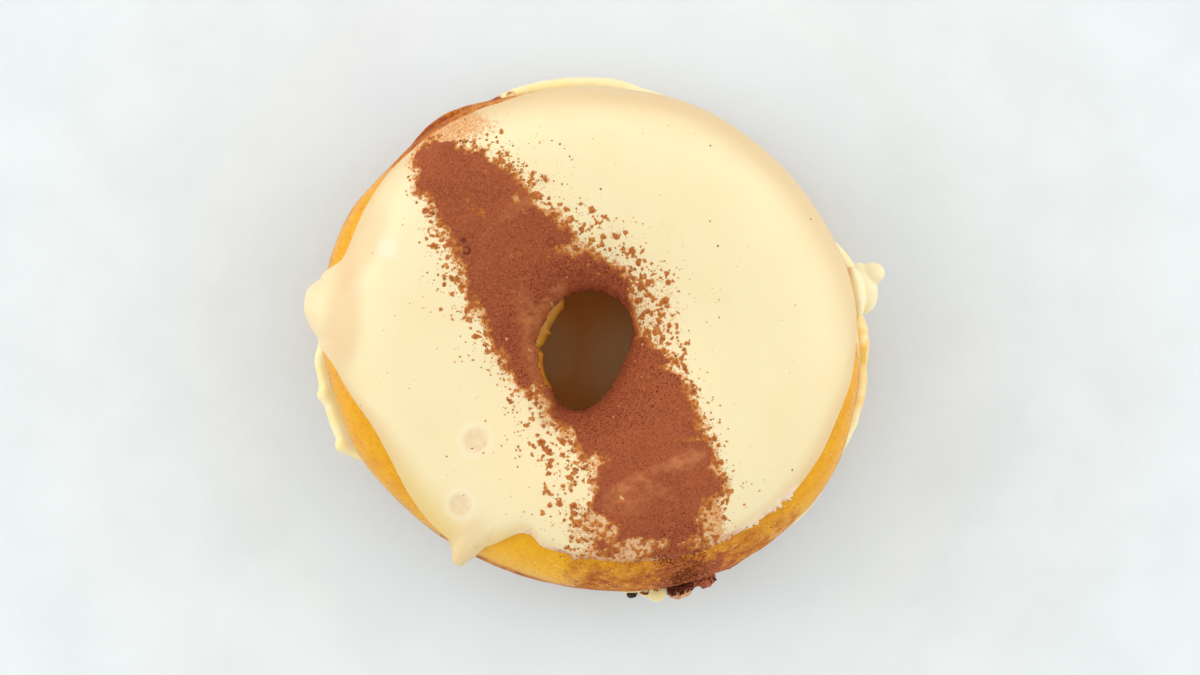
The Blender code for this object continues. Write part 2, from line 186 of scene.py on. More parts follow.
def humps(bearing, *rows):
    """Smooth humps added up: the height, start, peak and end of each."""
    return sum(height * hump(bearing, *row) for height, *row in rows)


def ease(value):
    """A smooth step from 0 to 1."""
    value = np.clip(value, 0.0, 1.0)
    return value * value * (3.0 - 2.0 * value)


def stretch_of(bearing, start, end, edge):
    """1 between two bearings, easing to 0 over the edge outside them."""
    middle = (start + end) / 2.0
    away = np.abs((bearing - middle + 180.0) % 360.0 - 180.0)
    return ease(((end - start) / 2.0 + edge - away) / edge)


def dough_rim(bearing):
    """The outer edge that both halves share, with two flats and a swelling."""
    flats = humps(bearing, (0.0007, 128, 142, 154), (0.0006, 174, 192, 208))
    swelling = 0.0006 * hump(bearing, 302, 328, 350)
    return DOUGH_RADIUS + swell(bearing, DOUGH_WAVES) + swelling - flats


def lower_rim(bearing):
    """The outer edge of the lower half, with a ledge at the upper left."""
    return dough_rim(bearing) + 0.0014 * hump(bearing, 108, 124, 142)


def upper_rim(bearing):
    """The outer edge of the upper half, drawn in where icing covers its side."""
    return dough_rim(bearing) - 0.0010 * hump(bearing, 335, 68, 142)


def icing_rim(bearing):
    """The icing's outer edge: a lobe at the left, a drip, and a bare stretch at the bottom."""
    lobe = 0.0052 * hump(bearing, 162.5, 173, 188)
    drip = 0.0043 * hump(bearing, 233, 238.9, 242.4)
    dips = humps(bearing, (0.0030, 182, 203, 233), (0.0010, 138, 160, 169),
                 (0.0004, 92, 112, 128), (0.0005, 320, 340, 353))
    full = 0.0005 * hump(bearing, 40, 72, 95)
    bare = 0.0064 * hump(bearing, 236, 250.5, 335)
    notch = 0.0013 * hump(bearing, 243, 251.5, 256.5)
    return ICING_RADIUS + swell(bearing, ICING_WAVES) + lobe + drip + full - dips - bare - notch


def icing_hole(bearing):
    """The icing's edge round the hole, from the hole's own centre."""
    uneven = 0.0004 * hump(bearing, 235, 265, 295) - 0.0006 * hump(bearing, 105, 152, 200)
    return HOLE_RADIUS + swell(bearing, HOLE_WAVES) + uneven


def upper_hole(bearing):
    """The upper half's edge round the hole, which shows past the icing at the lower left."""
    return icing_hole(bearing) + 0.0005 - 0.0020 * stretch_of(bearing, 186, 228, 16)


def lower_hole(bearing):
    """The lower half's edge round the hole, just behind the upper half's."""
    return upper_hole(bearing) + 0.0005


def cream_rim(bearing):
    """The cream's outer edge: sunk in a little, and squeezed out in bands on five sides."""
    bands = humps(bearing, (0.0030, 322, 356, 18), (0.0026, 60, 94, 130), (0.0014, 304, 320, 336),
                  (0.0028, 6, 15, 27), (0.0007, 190, 192, 194.5), (0.0008, 201, 203, 206))
    bands = bands + 0.0036 * stretch_of(bearing, 186, 203, 9) + 0.0013 * stretch_of(bearing, 277, 301, 7)
    return dough_rim(bearing) - CREAM_SUNK + bands + swell(bearing, CREAM_WAVES)


def cream_hole(bearing):
    """The cream's edge round the hole, squeezed out at the upper left with one ragged tip."""
    squeezed = 0.0021 * stretch_of(bearing, 120, 170, 12) + 0.0006 * hump(bearing, 149, 155, 161)
    return upper_hole(bearing) + 0.0004 - squeezed


def lower_cut(bearing):
    """The height of the lower half's cut face."""
    return LOWER_HEIGHT + swell(bearing, CUT_WAVES)


def upper_cut(bearing):
    """The height of the upper half's cut face."""
    return lower_cut(bearing) + CREAM_HEIGHT


def crown_height(bearing):
    """The height of the upper half over its cut face."""
    return UPPER_HEIGHT + swell(bearing, CROWN_WAVES)


def pointing(bearing):
    """Unit vectors along bearings."""
    turn = np.radians(bearing)
    return np.stack([np.cos(turn), np.sin(turn)], axis=-1)


def from_centre(flat):
    """Distances from the ring's centre, seen from above."""
    return np.linalg.norm(flat - RING_CENTRE, axis=1)


def edges(bearing, hole, rim):
    """The two ends of the section at a bearing: on the hole's edge and on the outer edge."""
    inner = HOLE_CENTRE + pointing(bearing) * hole[:, None]
    return inner, RING_CENTRE + pointing(bearing) * rim[:, None]


def upper_section(bearing):
    """The middle, direction and half width of the upper half's section."""
    inner, outer = edges(bearing, upper_hole(bearing), upper_rim(bearing))
    half = np.linalg.norm(outer - inner, axis=1) / 2.0
    return (inner + outer) / 2.0, (outer - inner) / (2.0 * half[:, None]), half


def icing_start(bearing, tatters=0.0):
    """How far up the section's back the icing's outer edge lies, in degrees of turn."""
    middle, _, half = upper_section(bearing)
    reach = (icing_rim(bearing) + tatters - BARE_FROM_RIM - from_centre(middle)) / half
    turn = np.degrees(np.arccos(np.clip(reach, 0.0, LOWEST_REACH) ** (UPPER_ROUNDNESS / 2.0)))
    hanging = humps(bearing, (0.5, 162, 172.5, 186), (0.5, 234.5, 238.8, 242.2))
    return turn * (1.0 - hanging)


def icing_end(bearing):
    """How far over the section's back the icing reaches into the hole, in degrees of turn."""
    return HOLE_END_TURN - 12.0 * stretch_of(bearing, 186, 226, 16)


def turn_along(bearing, along, tatters=0.0):
    """The turn at a station: 0 is the icing's outer edge, 1 its inner edge, -1 and 2 the cuts."""
    start, end = icing_start(bearing), icing_end(bearing)
    torn = (icing_start(bearing, tatters) - start) * ease(1.0 - along / TORN_WIDTH)
    even = PLAIN_START_TURN + (HOLE_END_TURN - PLAIN_START_TURN) * along
    from_rim, from_hole = np.clip(1.0 - along, 0.0, 1.0), np.clip(along, 0.0, 1.0)
    iced = even + torn + (start - PLAIN_START_TURN) * from_rim ** 2
    iced = iced + (end - HOLE_END_TURN) * from_hole ** 4
    bare_outside = start * (1.0 + along)
    bare_inside = end + (180.0 - end) * (along - 1.0)
    return np.where(along < 0.0, bare_outside, np.where(along > 1.0, bare_inside, iced))


def upper_back(bearing, along, clearance, tatters=0.0):
    """Points over the upper half's rounded back, at a clearance from it."""
    middle, outward, half = upper_section(bearing)
    crown = crown_height(bearing)
    turn = np.radians(turn_along(bearing, along, tatters))
    cosine, sine = np.cos(turn), np.abs(np.sin(turn))
    power = 2.0 / UPPER_ROUNDNESS
    across = half * np.sign(cosine) * np.abs(cosine) ** power
    up = crown * sine ** power
    slope_out = np.sign(cosine) * np.abs(cosine) ** (2.0 - power) / half
    slope_up = sine ** (2.0 - power) / crown
    length = np.hypot(slope_out, slope_up)
    across = across + clearance * slope_out / length
    up = up + clearance * slope_up / length
    flat = middle + outward * across[:, None]
    return np.column_stack([flat, upper_cut(bearing) + up])


def icing_thickness(bearing, along):
    """Even over the back, thin at the hole, and swollen at the ends of the lobe and the drip."""
    overhang = icing_rim(bearing) - upper_rim(bearing) - GAP
    rim_lip = np.clip(overhang, LIP_THICKNESS, 2.2 * ICING_THICKNESS)
    near_rim = ease(1.0 - along / 0.3)
    near_hole = ease((along - 0.85) / 0.15)
    thickness = ICING_THICKNESS + (rim_lip - ICING_THICKNESS) * near_rim
    return thickness + (HOLE_LIP_THICKNESS - ICING_THICKNESS) * near_hole


def along_stripe(place):
    """Distance along the cocoa stripe's line, and offset to its right."""
    run = (STRIPE_END - STRIPE_START) / np.linalg.norm(STRIPE_END - STRIPE_START)
    from_start = place[:, :2] - STRIPE_START
    return from_start @ run, from_start @ np.array([-run[1], run[0]])


def stripe_depth(place):
    """How far inside the plain cocoa stripe a point is, as seen from above."""
    along, offset = along_stripe(place)
    stations, middles, widths = np.array(STRIPE_STATIONS).T
    return np.interp(along, stations, widths) - np.abs(offset - np.interp(along, stations, middles))


LATTICE_SIZE = 65536
LATTICE = np.random.default_rng(7).uniform(-1.0, 1.0, LATTICE_SIZE)


def hashed(x, y, z):
    """A scattered number for each cell of a grid."""
    return x * 73856093 ^ y * 19349663 ^ z * 83492791


def noise_at(place, size, seed=0):
    """Smooth noise from -1 to 1 at points in space, in lumps of one size."""
    grid = place / size + 100.0 * seed
    cell = np.floor(grid).astype(np.int64)
    part = ease(grid - cell)
    total = np.zeros(len(place))
    for corner in product((0, 1), repeat=3):
        weight = np.prod(np.where(corner, part, 1.0 - part), axis=1)
        x, y, z = (cell + corner).T
        total += weight * LATTICE[hashed(x, y, z) % LATTICE_SIZE]
    return total


def layers(place, *rows):
    """Layers of noise added up: the strength, size and seed of each."""
    return sum(strength * noise_at(place, size, seed) for strength, size, seed in rows)


def grounded(flat):
    """Points seen from above, at height 0."""
    return np.column_stack([flat[:, :2], np.zeros(len(flat))])


def add_piece(name, mesh):
    """Puts a mesh in the scene as a piece."""
    piece = bpy.data.objects.new(name, mesh)
    bpy.context.scene.collection.objects.link(piece)
    return piece


def new_piece(name, points, faces):
    """A smooth piece from arrays of points and faces, with its faces pointing out."""
    mesh = bpy.data.meshes.new(name)
    mesh.from_pydata(np.asarray(points).tolist(), [], np.asarray(faces).tolist())
    work = bmesh.new()
    work.from_mesh(mesh)
    bmesh.ops.recalc_face_normals(work, faces=work.faces)
    work.to_mesh(mesh)
    work.free()
    mesh.shade_smooth()
    return add_piece(name, mesh)


def ring_piece(name, turns, profile, point):
    """A piece made of sections round the ring, with the coordinates of its points."""
    first, second = np.array(profile, dtype=float).T
    bearing = np.repeat(np.arange(turns) * 360.0 / turns, len(first))
    along, level = np.tile(first, turns), np.tile(second, turns)
    here = np.arange(turns * len(first)).reshape(turns, len(first))
    right = np.roll(here, -1, axis=1)
    ahead, across = np.roll(here, -1, axis=0), np.roll(right, -1, axis=0)
    faces = np.stack([here, ahead, across, right], axis=-1).reshape(-1, 4)
    return new_piece(name, point(bearing, along, level), faces), bearing, along, level


def paint(piece, **values):
    """Keeps values for each point of a piece, for its material to read."""
    for name, value in values.items():
        attribute = piece.data.attributes.new(name, "FLOAT", "POINT")
        attribute.data.foreach_set("value", np.asarray(value, dtype=np.float32))


def per_point(piece, name):
    """The place or the normal of each point of a piece."""
    values = np.empty(len(piece.data.vertices) * 3)
    piece.data.vertices.foreach_get(name, values)
    return values.reshape(-1, 3)


def places_of(piece):
    """The places of a piece's points."""
    return per_point(piece, "co")


def push_out(piece, amounts):
    """Moves every point of a piece along its normal."""
    moved = places_of(piece) + per_point(piece, "normal") * amounts[:, None]
    piece.data.vertices.foreach_set("co", moved.ravel())
    piece.data.update()


# Icing

# Shallow dents where bubbles burst: place seen from above, radius, and how pale the middle is
DIMPLES = (
    (-0.0356, 0.0158, 0.0019, 1.0),
    (-0.0205, -0.0170, 0.0023, 0.0),
    (-0.0231, -0.0281, 0.0021, 0.0),
)
DIMPLE_DEPTH = 0.00016
# Peach tints of the icing over the lobe and above the drip, painted shade on its slopes: place seen from
# above and half sizes in millimetres, bearing of the long side, and strength
LOBE_SHADE_TINTS = (
    (-43.4, 3, 8, 3, 84, 0.75),
    (-40.2, 16.5, 6.8, 2.8, 62, 0.6),
    (-22.2, -35.2, 4.8, 3, 60, 0.45),
)


def tatters(bearing):
    """The torn fringe of the icing at the bottom, and a slight unevenness elsewhere."""
    around = grounded(pointing(bearing) * ICING_RADIUS)
    torn = stretch_of(bearing, 251, 320, 3)
    spikes = (1.0 - np.abs(noise_at(around, 0.0006, 3))) ** 3 + 0.6 * noise_at(around, 0.0004, 5)
    waves = noise_at(around, 0.0022, 8)
    torn = torn * (0.0007 * spikes + 0.0004 * waves - 0.0002)
    return torn + 0.00012 * noise_at(around, 0.004, 2)


def dimple_distance(place, dimple):
    """Distance from a dimple's middle, as a share of its radius."""
    x, y, radius, _ = dimple
    return np.hypot(place[:, 0] - x, place[:, 1] - y) / radius


def icing_detail(place):
    """Slow unevenness of the icing's surface, with its dents."""
    detail = layers(place, (0.00012, 0.009, 1), (0.00004, 0.003, 4))
    for dimple in DIMPLES:
        away = dimple_distance(place, dimple)
        detail = detail - DIMPLE_DEPTH * ease(1.15 - away) + 0.00006 * ease(1.0 - 3.0 * np.abs(away - 1.1))
    return detail


def icing_point(bearing, along, level):
    """Points of the icing: level is 0 on its inner face and 1 on its outer face."""
    ragged = tatters(bearing)
    film = stretch_of(bearing, 253, 318, 3) * ease(1.0 - along / 0.05)
    thickness = icing_thickness(bearing, along) * (1.0 - 0.6 * film)
    rough = upper_back(bearing, along, thickness, ragged)
    return upper_back(bearing, along, TOUCHING + level * (thickness + icing_detail(rough)), ragged)


def icing_profile():
    """Section of the icing: its inner face, and an outer face with a rounded edge at each end."""
    inner = (0.0, 0.01, 0.03, 0.06, 0.12, 0.24, 0.38, 0.52, 0.66, 0.80, 0.92, 0.97, 1.0)
    inner = [(along, 0.0) for along in inner]
    even = np.linspace(0.03, 0.97, 60)
    outer = [(along, 1.0) for along in even - 0.012 * np.sin(2.0 * np.pi * even)]
    swing = np.radians(np.linspace(8.0, 82.0, 8))
    rim = [(-0.012 + 0.040 * (1.0 - np.cos(turn)), np.sin(turn)) for turn in swing]
    hole = [(1.010 - 0.038 * (1.0 - np.cos(turn)), np.sin(turn)) for turn in swing]
    return inner + hole + outer[::-1] + rim[::-1]


def make_icing():
    """The icing, at a finer scale than its solid."""
    piece, bearing, along, _ = ring_piece("icing_glaze", ICING_TURNS, icing_profile(), icing_point)
    place = places_of(piece)
    film = stretch_of(bearing, 250, 322, 3) * ease(1.6 - along / 0.045)
    # Peach to yellow rim tint: the thin icing's own colour at its edges, and painted shade where the surface
    # slopes steeply away, stronger at the top and bottom-left edges
    top, low = hump(bearing, -50, 78, 165), hump(bearing, 190, 232, 262)
    rim = ease(1.0 - along / (0.15 + 0.15 * top + 0.17 * low))
    steep_painted_shade = ease((0.93 - per_point(piece, "normal")[:, 2]) / 0.55) * ease((0.6 - along) / 0.2)
    steep_painted_shade = steep_painted_shade * (0.6 + 0.25 * top + 0.15 * low)
    rim = rim * (0.75 + 0.25 * np.maximum(top, low))
    rim = np.maximum(rim, steep_painted_shade) * (1.0 - 0.5 * hump(bearing, 156, 172, 192))
    paint(piece, rim=rim * (1.0 - film), yellow=low, film=film, near=1000.0 * veil_field(place),
          brown=stretch_of(bearing, 264, 303, 8), lobe=np.clip(patches(place, LOBE_SHADE_TINTS), 0.0, 1.0))
    pale, pink = np.zeros((2, len(place)))
    for dimple in DIMPLES:
        away = dimple_distance(place, dimple)
        inside, halo = ease(3.0 * (1.05 - away)), ease(1.0 - 3.0 * np.abs(away - 1.2))
        pale = np.maximum(pale, np.where(dimple[3] > 0.5, inside, 0.8 * halo))
        pink = np.maximum(pink, inside * (1.0 - dimple[3]))
    golden = stretch_of(bearing, 125, 228, 12)
    at_hole = ease((along - 0.88 - 0.05 * golden) / 0.05)
    dusted = at_hole * (1.0 - 0.45 * stretch_of(bearing, -20, 60, 20))
    paint(piece, pale=pale, pink=pink, golden=golden, dusted=dusted)
    return piece


# Cocoa

# Places where the cocoa lies thin: place seen from above and half sizes in millimetres,
# bearing of the long side, and how much of it is gone
THIN_PATCHES = (
    (-22.2, 33, 1.8, 1.3, 20, 0.8),
    (-16.3, 31.2, 2.2, 1.3, -40, 0.9),
    (-13.9, 24.6, 2.4, 0.7, -55, 0.5),
    (-10, 22.5, 2.6, 1.4, 10, 0.4),
    (-5, 15.5, 2.6, 1, -20, 0.8),
    (3, 16.8, 4.5, 2.8, -35, 0.55),
    (10.5, 6, 6.2, 3.6, -80, 0.85),
    (12.8, -4.8, 2, 0.8, -10, 0.7),
    (-9.6, -9.2, 1.6, 3, 30, 0.6),
    (-5, -16, 1.4, 1.1, 0, 0.8),
    (0.7, -20.5, 2.2, 0.8, 10, 0.8),
    (4.2, -27.2, 0.7, 1.1, 0, 0.7),
    (19.6, -30.2, 2.2, 3.8, 15, 0.85),
    (16.5, -34.5, 1.6, 1.2, 0, 0.5),
    (8.2, -35, 4.2, 1.3, 5, 0.75),
    (-1, -32.2, 3.6, 3.2, -10, 0.62),
    (2.2, -36.5, 4.4, 1.5, 0, 0.62),
    (4, -33, 4.6, 2.2, -35, 0.58),
    (5, -38, 6.6, 0.9, 2, 0.95),
)
# Places where a faint veil of cocoa lies past the crust, in the form of the thin patches
VEILS = (
    (-26.2, 37.2, 6.2, 3, 30, 1.0),
    (-21.5, 36.2, 5, 2, 10, 0.8),
)
# Small bubbles in the crust, each drawn as a dark ring of painted shade: place seen from above, and radius
BUBBLES = ((-0.0220, 0.0153, 0.00055), (-0.0225, 0.0171, 0.00028), (-0.0076, 0.0167, 0.00070))
# Places where the crust was rubbed and is paler, in the form of the thin patches
RUBBED = (
    (12, -21.4, 5.6, 0.9, 19, 0.45),
    (15.6, -20.3, 2.8, 1.4, 22, 0.7),
    (5, -24.6, 3.4, 0.8, 30, 0.6),
    (5.2, -27.2, 3.6, 2, 5, 0.5),
    (10.4, -25.2, 3, 0.8, -30, 0.7),
    (-12, 24, 4.6, 1.2, 40, 0.45),
    (-10.4, -1.2, 1.9, 8.5, 14, 1.0),
    (-8.2, 6.2, 4.2, 1.1, 52, 0.9),
)
# Places beside the crust with more crumbs, in the form of the thin patches
CRUMBLY = (
    (-25, 13.5, 7, 1.7, -62, 0.55),
    (-6.4, -23.2, 7, 2.4, -72, 0.32),
    (9.2, 4.8, 6.6, 2, -72, 0.72),
)
COCOA_DEPTH = 0.00032
# How far a full thin patch draws the crust's edge in
PATCH_DEPTH = 0.0024
# The crust is two pieces, which meet at this distance along the stripe
STRIPE_SPLIT = 0.043
# The crust lies within this distance of the middle, and from this depth of the field
COCOA_REACH = 0.048
CRUST_EDGE = -0.00012
# How far the crust's underside lies in the icing
CRUST_ROOT = 0.0003
# Cocoa lies on faces that point up at least this much, and from these heights
CRUST_SLOPE, GRAIN_SLOPE = 0.12, 0.15
CRUST_LOWEST, GRAIN_LOWEST = 0.02, 0.004
# Rays that look for a surface start over the whole doughnut
RAY_START = 0.06
# How far out specks lie, and how many places are tried for the specks, the grains on the dough
# and those on the lobes
SPECK_REACH = 0.047
SPECK_TRIES, GRAIN_TRIES, LOBE_GRAIN_TRIES = 90000, 15000, 1900
# How many lumps a clump has, and how uneven and how stretched each lump is
CLUMP_LUMPS = 9
LUMP_SIZES, LUMP_STRETCHES = (0.72, 1.28), (0.75, 1.25)


def patch_amount(place, patch):
    """How much of a patch reaches a point: its whole amount at its middle."""
    x, y, long_side, short_side = np.array(patch[:4]) / 1000.0
    bearing, amount = patch[4:]
    ahead = pointing(bearing)
    away = place[:, :2] - [x, y]
    reach = np.hypot(away @ ahead / long_side, away @ np.array([-ahead[1], ahead[0]]) / short_side)
    return amount * ease(1.6 - reach)


def patches(place, chosen):
    """How much of all the chosen patches reaches a point."""
    return sum(patch_amount(place, patch) for patch in chosen)


def cocoa_edges(place):
    """Distance inside the stripe's edges, and how far past that edge its crumbs go."""
    along, offset = along_stripe(place)
    stations, left, right, left_crumbs, right_crumbs = np.array(STRIPE_EDGES).T / 1000.0
    inside_left = offset - np.interp(along, stations, left)
    inside_right = np.interp(along, stations, right) - offset
    ends = np.minimum(along - stations[0], stations[-1] + 0.0005 - along)
    on_left = inside_left < inside_right
    crumbs = np.where(on_left, np.interp(along, stations, left_crumbs),
                      np.interp(along, stations, right_crumbs))
    return np.minimum(np.minimum(inside_left, inside_right), ends), crumbs


def solid_field(place):
    """Distance inside the solid part of the stripe, with its ragged edge and thin patches."""
    flat = grounded(place)
    inside, _ = cocoa_edges(place)
    coarse = layers(flat, (0.0008, 0.0024, 11), (0.0007, 0.0012, 12))
    fine = layers(flat, (0.0006, 0.0006, 13), (0.0004, 0.00035, 14))
    return np.minimum(inside, 0.0019) + coarse + fine - PATCH_DEPTH * patches(place, THIN_PATCHES)


def veil_field(place):
    """Where the icing is dusted under and around the crust."""
    veils = 0.0021 * np.clip(patches(place, VEILS), 0.0, 1.0)
    lower_end = 0.45 + 0.55 * ease((-0.008 - place[:, 1]) / 0.010)
    thin = PATCH_DEPTH * np.clip(1.25 * patches(place, THIN_PATCHES), 0.0, 1.0) * lower_end
    broken = 0.60 + 1.2 * noise_at(grounded(place), 0.0011, 27)
    crumbly = 0.0009 * np.clip(1.6 * patches(place, CRUMBLY) * broken, 0.0, 1.0)
    veils = np.maximum.reduce([veils, thin, crumbly])
    return np.maximum(solid_field(place), veils - PATCH_DEPTH)


def blobs(place, spacing, radius, wish, seed):
    """Distance inside scattered round blobs, one at most in each cell, as often as wished."""
    grid = place[:, :2] / spacing
    cell = np.floor(grid).astype(np.int64)
    deepest = np.full(len(place), -0.001)
    for step in product((-1, 0, 1), repeat=2):
        x, y = (cell + step).T
        key = hashed(x, y, seed)
        right, ahead, size, luck = (0.5 + 0.5 * LATTICE[(key + 101 * n) % LATTICE_SIZE] for n in range(4))
        away = spacing * np.hypot(grid[:, 0] - x - right, grid[:, 1] - y - ahead)
        depth = radius * (0.35 + 0.65 * size ** 2) - away
        deepest = np.maximum(deepest, np.where(luck < wish, depth, -0.001))
    return deepest


def cocoa_field(place):
    """How well cocoa covers a point: above 0 it lies there, and below 0 it doesn't."""
    flat = grounded(place)
    inside, crumbs = cocoa_edges(place)
    broken = np.clip(patches(place, THIN_PATCHES), 0.0, 1.0)
    outside = np.clip(-inside, 0.0, None) / crumbs * (1.0 - 0.9 * broken)
    wish = np.exp(-2.4 * outside) * (0.85 + 0.45 * noise_at(flat, 0.0028, 21)) - 0.06
    wish = wish + patches(place, CRUMBLY)
    islands = np.maximum(blobs(flat, 0.0014, 0.00085, 0.7 * wish, 1), blobs(flat, 0.0008, 0.00045, wish, 2))
    islands = islands + layers(flat, (0.00030, 0.0006, 22), (0.00018, 0.0003, 23))
    return np.maximum(solid_field(place), islands)


def surface_under(piece):
    """A way to find the top of a piece under a point."""
    mesh = piece.data
    points = [vertex.co.copy() for vertex in mesh.vertices]
    tree = BVHTree.FromPolygons(points, [tuple(face.vertices) for face in mesh.polygons])

    def find(x, y):
        return tree.ray_cast(Vector((x, y, RAY_START)), Vector((0.0, 0.0, -1.0)))[:2]

    return find


def cocoa_heights(flat, field):
    """Height of the cocoa over the icing, with its grain and pits."""
    place = grounded(flat)
    body = np.clip(0.5 * field, -0.00014, COCOA_DEPTH)
    grain = layers(place, (0.00009, 0.0008, 31), (0.00011, 0.00045, 32))
    pits = 0.00020 * ease((noise_at(place, 0.0005, 34) - 0.30) / 0.25) * (0.4 + 0.6 * pitted(place))
    slow = 0.00010 * noise_at(place, 0.003, 33)
    return body + (grain + slow - pits) * ease(field / 0.0004)


def pitted(place):
    """Where the crust is coarse: round the hole, and at the stripe's lower end."""
    round_hole = ease((0.021 - np.linalg.norm(place[:, :2] - HOLE_CENTRE, axis=1)) / 0.009)
    lower_end = ease((along_stripe(place)[0] - 0.074) / 0.006)
    return np.maximum(round_hole, lower_end)


def cocoa_sheet(name, find, keep):
    """A crust of cocoa over the icing, closed underneath, where keep says."""
    reach = int(COCOA_REACH / COCOA_PITCH)
    steps = np.arange(-reach, reach + 1) * COCOA_PITCH
    x, y = np.meshgrid(steps, steps, indexing="ij")
    flat = np.column_stack([x.ravel(), y.ravel()])
    field = cocoa_field(flat)
    size = len(steps)
    corner = np.arange(size * size).reshape(size, size)[:-1, :-1].ravel()
    cells = np.stack([corner, corner + size, corner + size + 1, corner + 1], axis=1)
    cells = cells[(field[cells].max(axis=1) > CRUST_EDGE) & keep(flat[cells].mean(axis=1))]
    heights = cocoa_heights(flat, field)
    top, under, good = {}, {}, {}
    for index in np.unique(cells):
        place, normal = find(*flat[index])
        good[index] = place is not None and normal.z > CRUST_SLOPE and place.z > CRUST_LOWEST
        if good[index]:
            top[index] = place + normal * heights[index]
            under[index] = place - normal * CRUST_ROOT
    cells = [cell for cell in cells.tolist() if all(good[index] for index in cell)]
    return closed_sheet(name, cells, top, under, field)


def closed_sheet(name, cells, top, under, field):
    """Joins an upper and a lower sheet over the same cells into one closed crust."""
    used = sorted({index for cell in cells for index in cell})
    order = {index: number for number, index in enumerate(used)}
    count = len(used)
    points = [top[index] for index in used] + [under[index] for index in used]
    upper = [[order[index] for index in cell] for cell in cells]
    lower = [[index + count for index in cell[::-1]] for cell in upper]
    sides = {}
    for cell in upper:
        for here, ahead in zip(cell, cell[1:] + cell[:1]):
            sides[(here, ahead)] = sides.pop((ahead, here), None) is None
    walls = [[ahead, here, here + count, ahead + count]
             for (here, ahead), open_side in sides.items() if open_side]
    mesh = bpy.data.meshes.new(name)
    mesh.from_pydata(points, [], upper + lower + walls)
    mesh.shade_smooth()
    piece = add_piece(name, mesh)
    place = grounded(places_of(piece))
    uneven = 0.7 + layers(place, (0.5, 0.0011, 35), (0.4, 0.0005, 36))
    # Dark rings at the bubbles' edges: painted shade in their hollows
    bubble_shade_rings = np.zeros(len(place))
    for x, y, radius in BUBBLES:
        away = np.hypot(place[:, 0] - x, place[:, 1] - y)
        strength = 1.0 if radius < 0.0006 else 0.5
        bubble_shade_rings = np.maximum(bubble_shade_rings, strength * ease(1.3 - np.abs(away - radius) / 0.00022))
    paint(piece, cover=np.tile(1000.0 * field[used], 2), pitted=pitted(place), ring=bubble_shade_rings,
          rubbed=np.clip(patches(place, RUBBED) * uneven, 0.0, 1.0))
    return piece


def lump_shape():
    """Points and faces of a plain round lump."""
    work = bmesh.new()
    bmesh.ops.create_icosphere(work, subdivisions=1, radius=1.0)
    points = np.array([vertex.co[:] for vertex in work.verts])
    faces = np.array([[vertex.index for vertex in face.verts] for face in work.faces])
    work.free()
    return points, faces


def scatter_lumps(name, places, radii, chance, flatness=0.75):
    """Many small uneven lumps joined in one mesh, with a tone for each."""
    points, faces = lump_shape()
    count = len(places)
    sizes = radii[:, None, None] * chance.uniform(*LUMP_SIZES, (count, len(points), 1))
    stretch = chance.uniform(*LUMP_STRETCHES, (count, 1, 3)) * np.array([1.0, 1.0, flatness])
    placed = np.asarray(places)[:, None, :] + points[None] * sizes * stretch
    every = faces[None] + len(points) * np.arange(count)[:, None, None]
    piece = new_piece(name, placed.reshape(-1, 3), every.reshape(-1, 3))
    paint(piece, tone=np.repeat(chance.uniform(0.0, 1.0, count), len(points)))
    return piece


def drop_on(find, flat, sink):
    """Places on top of a piece under points seen from above, with the points that it lies under."""
    places, kept = [], []
    for number, (x, y) in enumerate(flat):
        place, normal = find(x, y)
        if place is not None and place.z > GRAIN_LOWEST and normal.z > GRAIN_SLOPE:
            places.append(place + normal * sink[number])
            kept.append(number)
    return places, np.array(kept)


def make_specks(find):
    """Specks of cocoa round the stripe, fewer and smaller away from it."""
    chance = np.random.default_rng(23)
    flat = chance.uniform(-SPECK_REACH, SPECK_REACH, (SPECK_TRIES, 2))
    inside, crumbs = cocoa_edges(flat)
    outside = np.clip(-inside, 0.0, None)
    lumpy = grounded(flat)
    clusters = 0.75 + layers(lumpy, (0.80, 0.0025, 41), (0.50, 0.0011, 42))
    wish = np.exp(-2.0 * outside / crumbs) * np.clip(clusters, 0.05, None)
    wish = np.where(inside > 0.0008, 0.20 * pitted(lumpy), wish) + 0.0022
    chosen = chance.random(len(flat)) < 0.36 * wish
    flat, outside = flat[chosen], outside[chosen]
    fading = np.maximum(np.exp(-outside / 0.009), 0.45)
    radii = 0.00007 + 0.00030 * chance.random(len(flat)) ** 3.0 * fading
    places, kept = drop_on(find, flat, 0.05 * radii)
    return scatter_lumps("cocoa_specks", places, radii[kept], chance, 0.5)


def icing_top(bearing, along):
    """One point on the icing's outer face, as the solid has it."""
    bearing, along = np.array([bearing]), np.array([along])
    thickness = icing_thickness(bearing, along)
    return upper_back(bearing, along, GAP + thickness)[0]


def clump_places(chance):
    """Places of cocoa clumps scattered along the stripe's two edges."""
    chosen = []
    while len(chosen) < CLUMP_COUNT:
        bearing, along = chance.uniform(0.0, 360.0), chance.uniform(0.12, 0.86)
        place = icing_top(bearing, along)
        outside = -stripe_depth(place[None, :])[0]
        near_edge = -0.0006 < outside < CLUMP_SPREAD * chance.random() ** 1.5
        apart = all(np.linalg.norm(place - other) > CLUMP_SPACING for other in chosen)
        if near_edge and apart:
            chosen.append(place)
    return chosen


def make_clumps():
    """The largest clumps of cocoa, each a few lumps stuck together, where the solid has them."""
    draw = random.Random(5)
    middles = clump_places(draw)
    chance = np.random.default_rng(9)
    places, radii = [], []
    for middle in middles:
        size = draw.uniform(*CLUMP_RADII) * 0.85
        for _ in range(CLUMP_LUMPS):
            away = chance.normal(0.0, 0.42, 3) * size
            places.append(middle + away * [1.0, 1.0, 0.35] - [0.0, 0.0, CLUMP_SINK])
            radii.append(size * chance.uniform(0.28, 0.55))
    return scatter_lumps("cocoa_clumps", places, np.array(radii), chance, 0.55)


# Dough

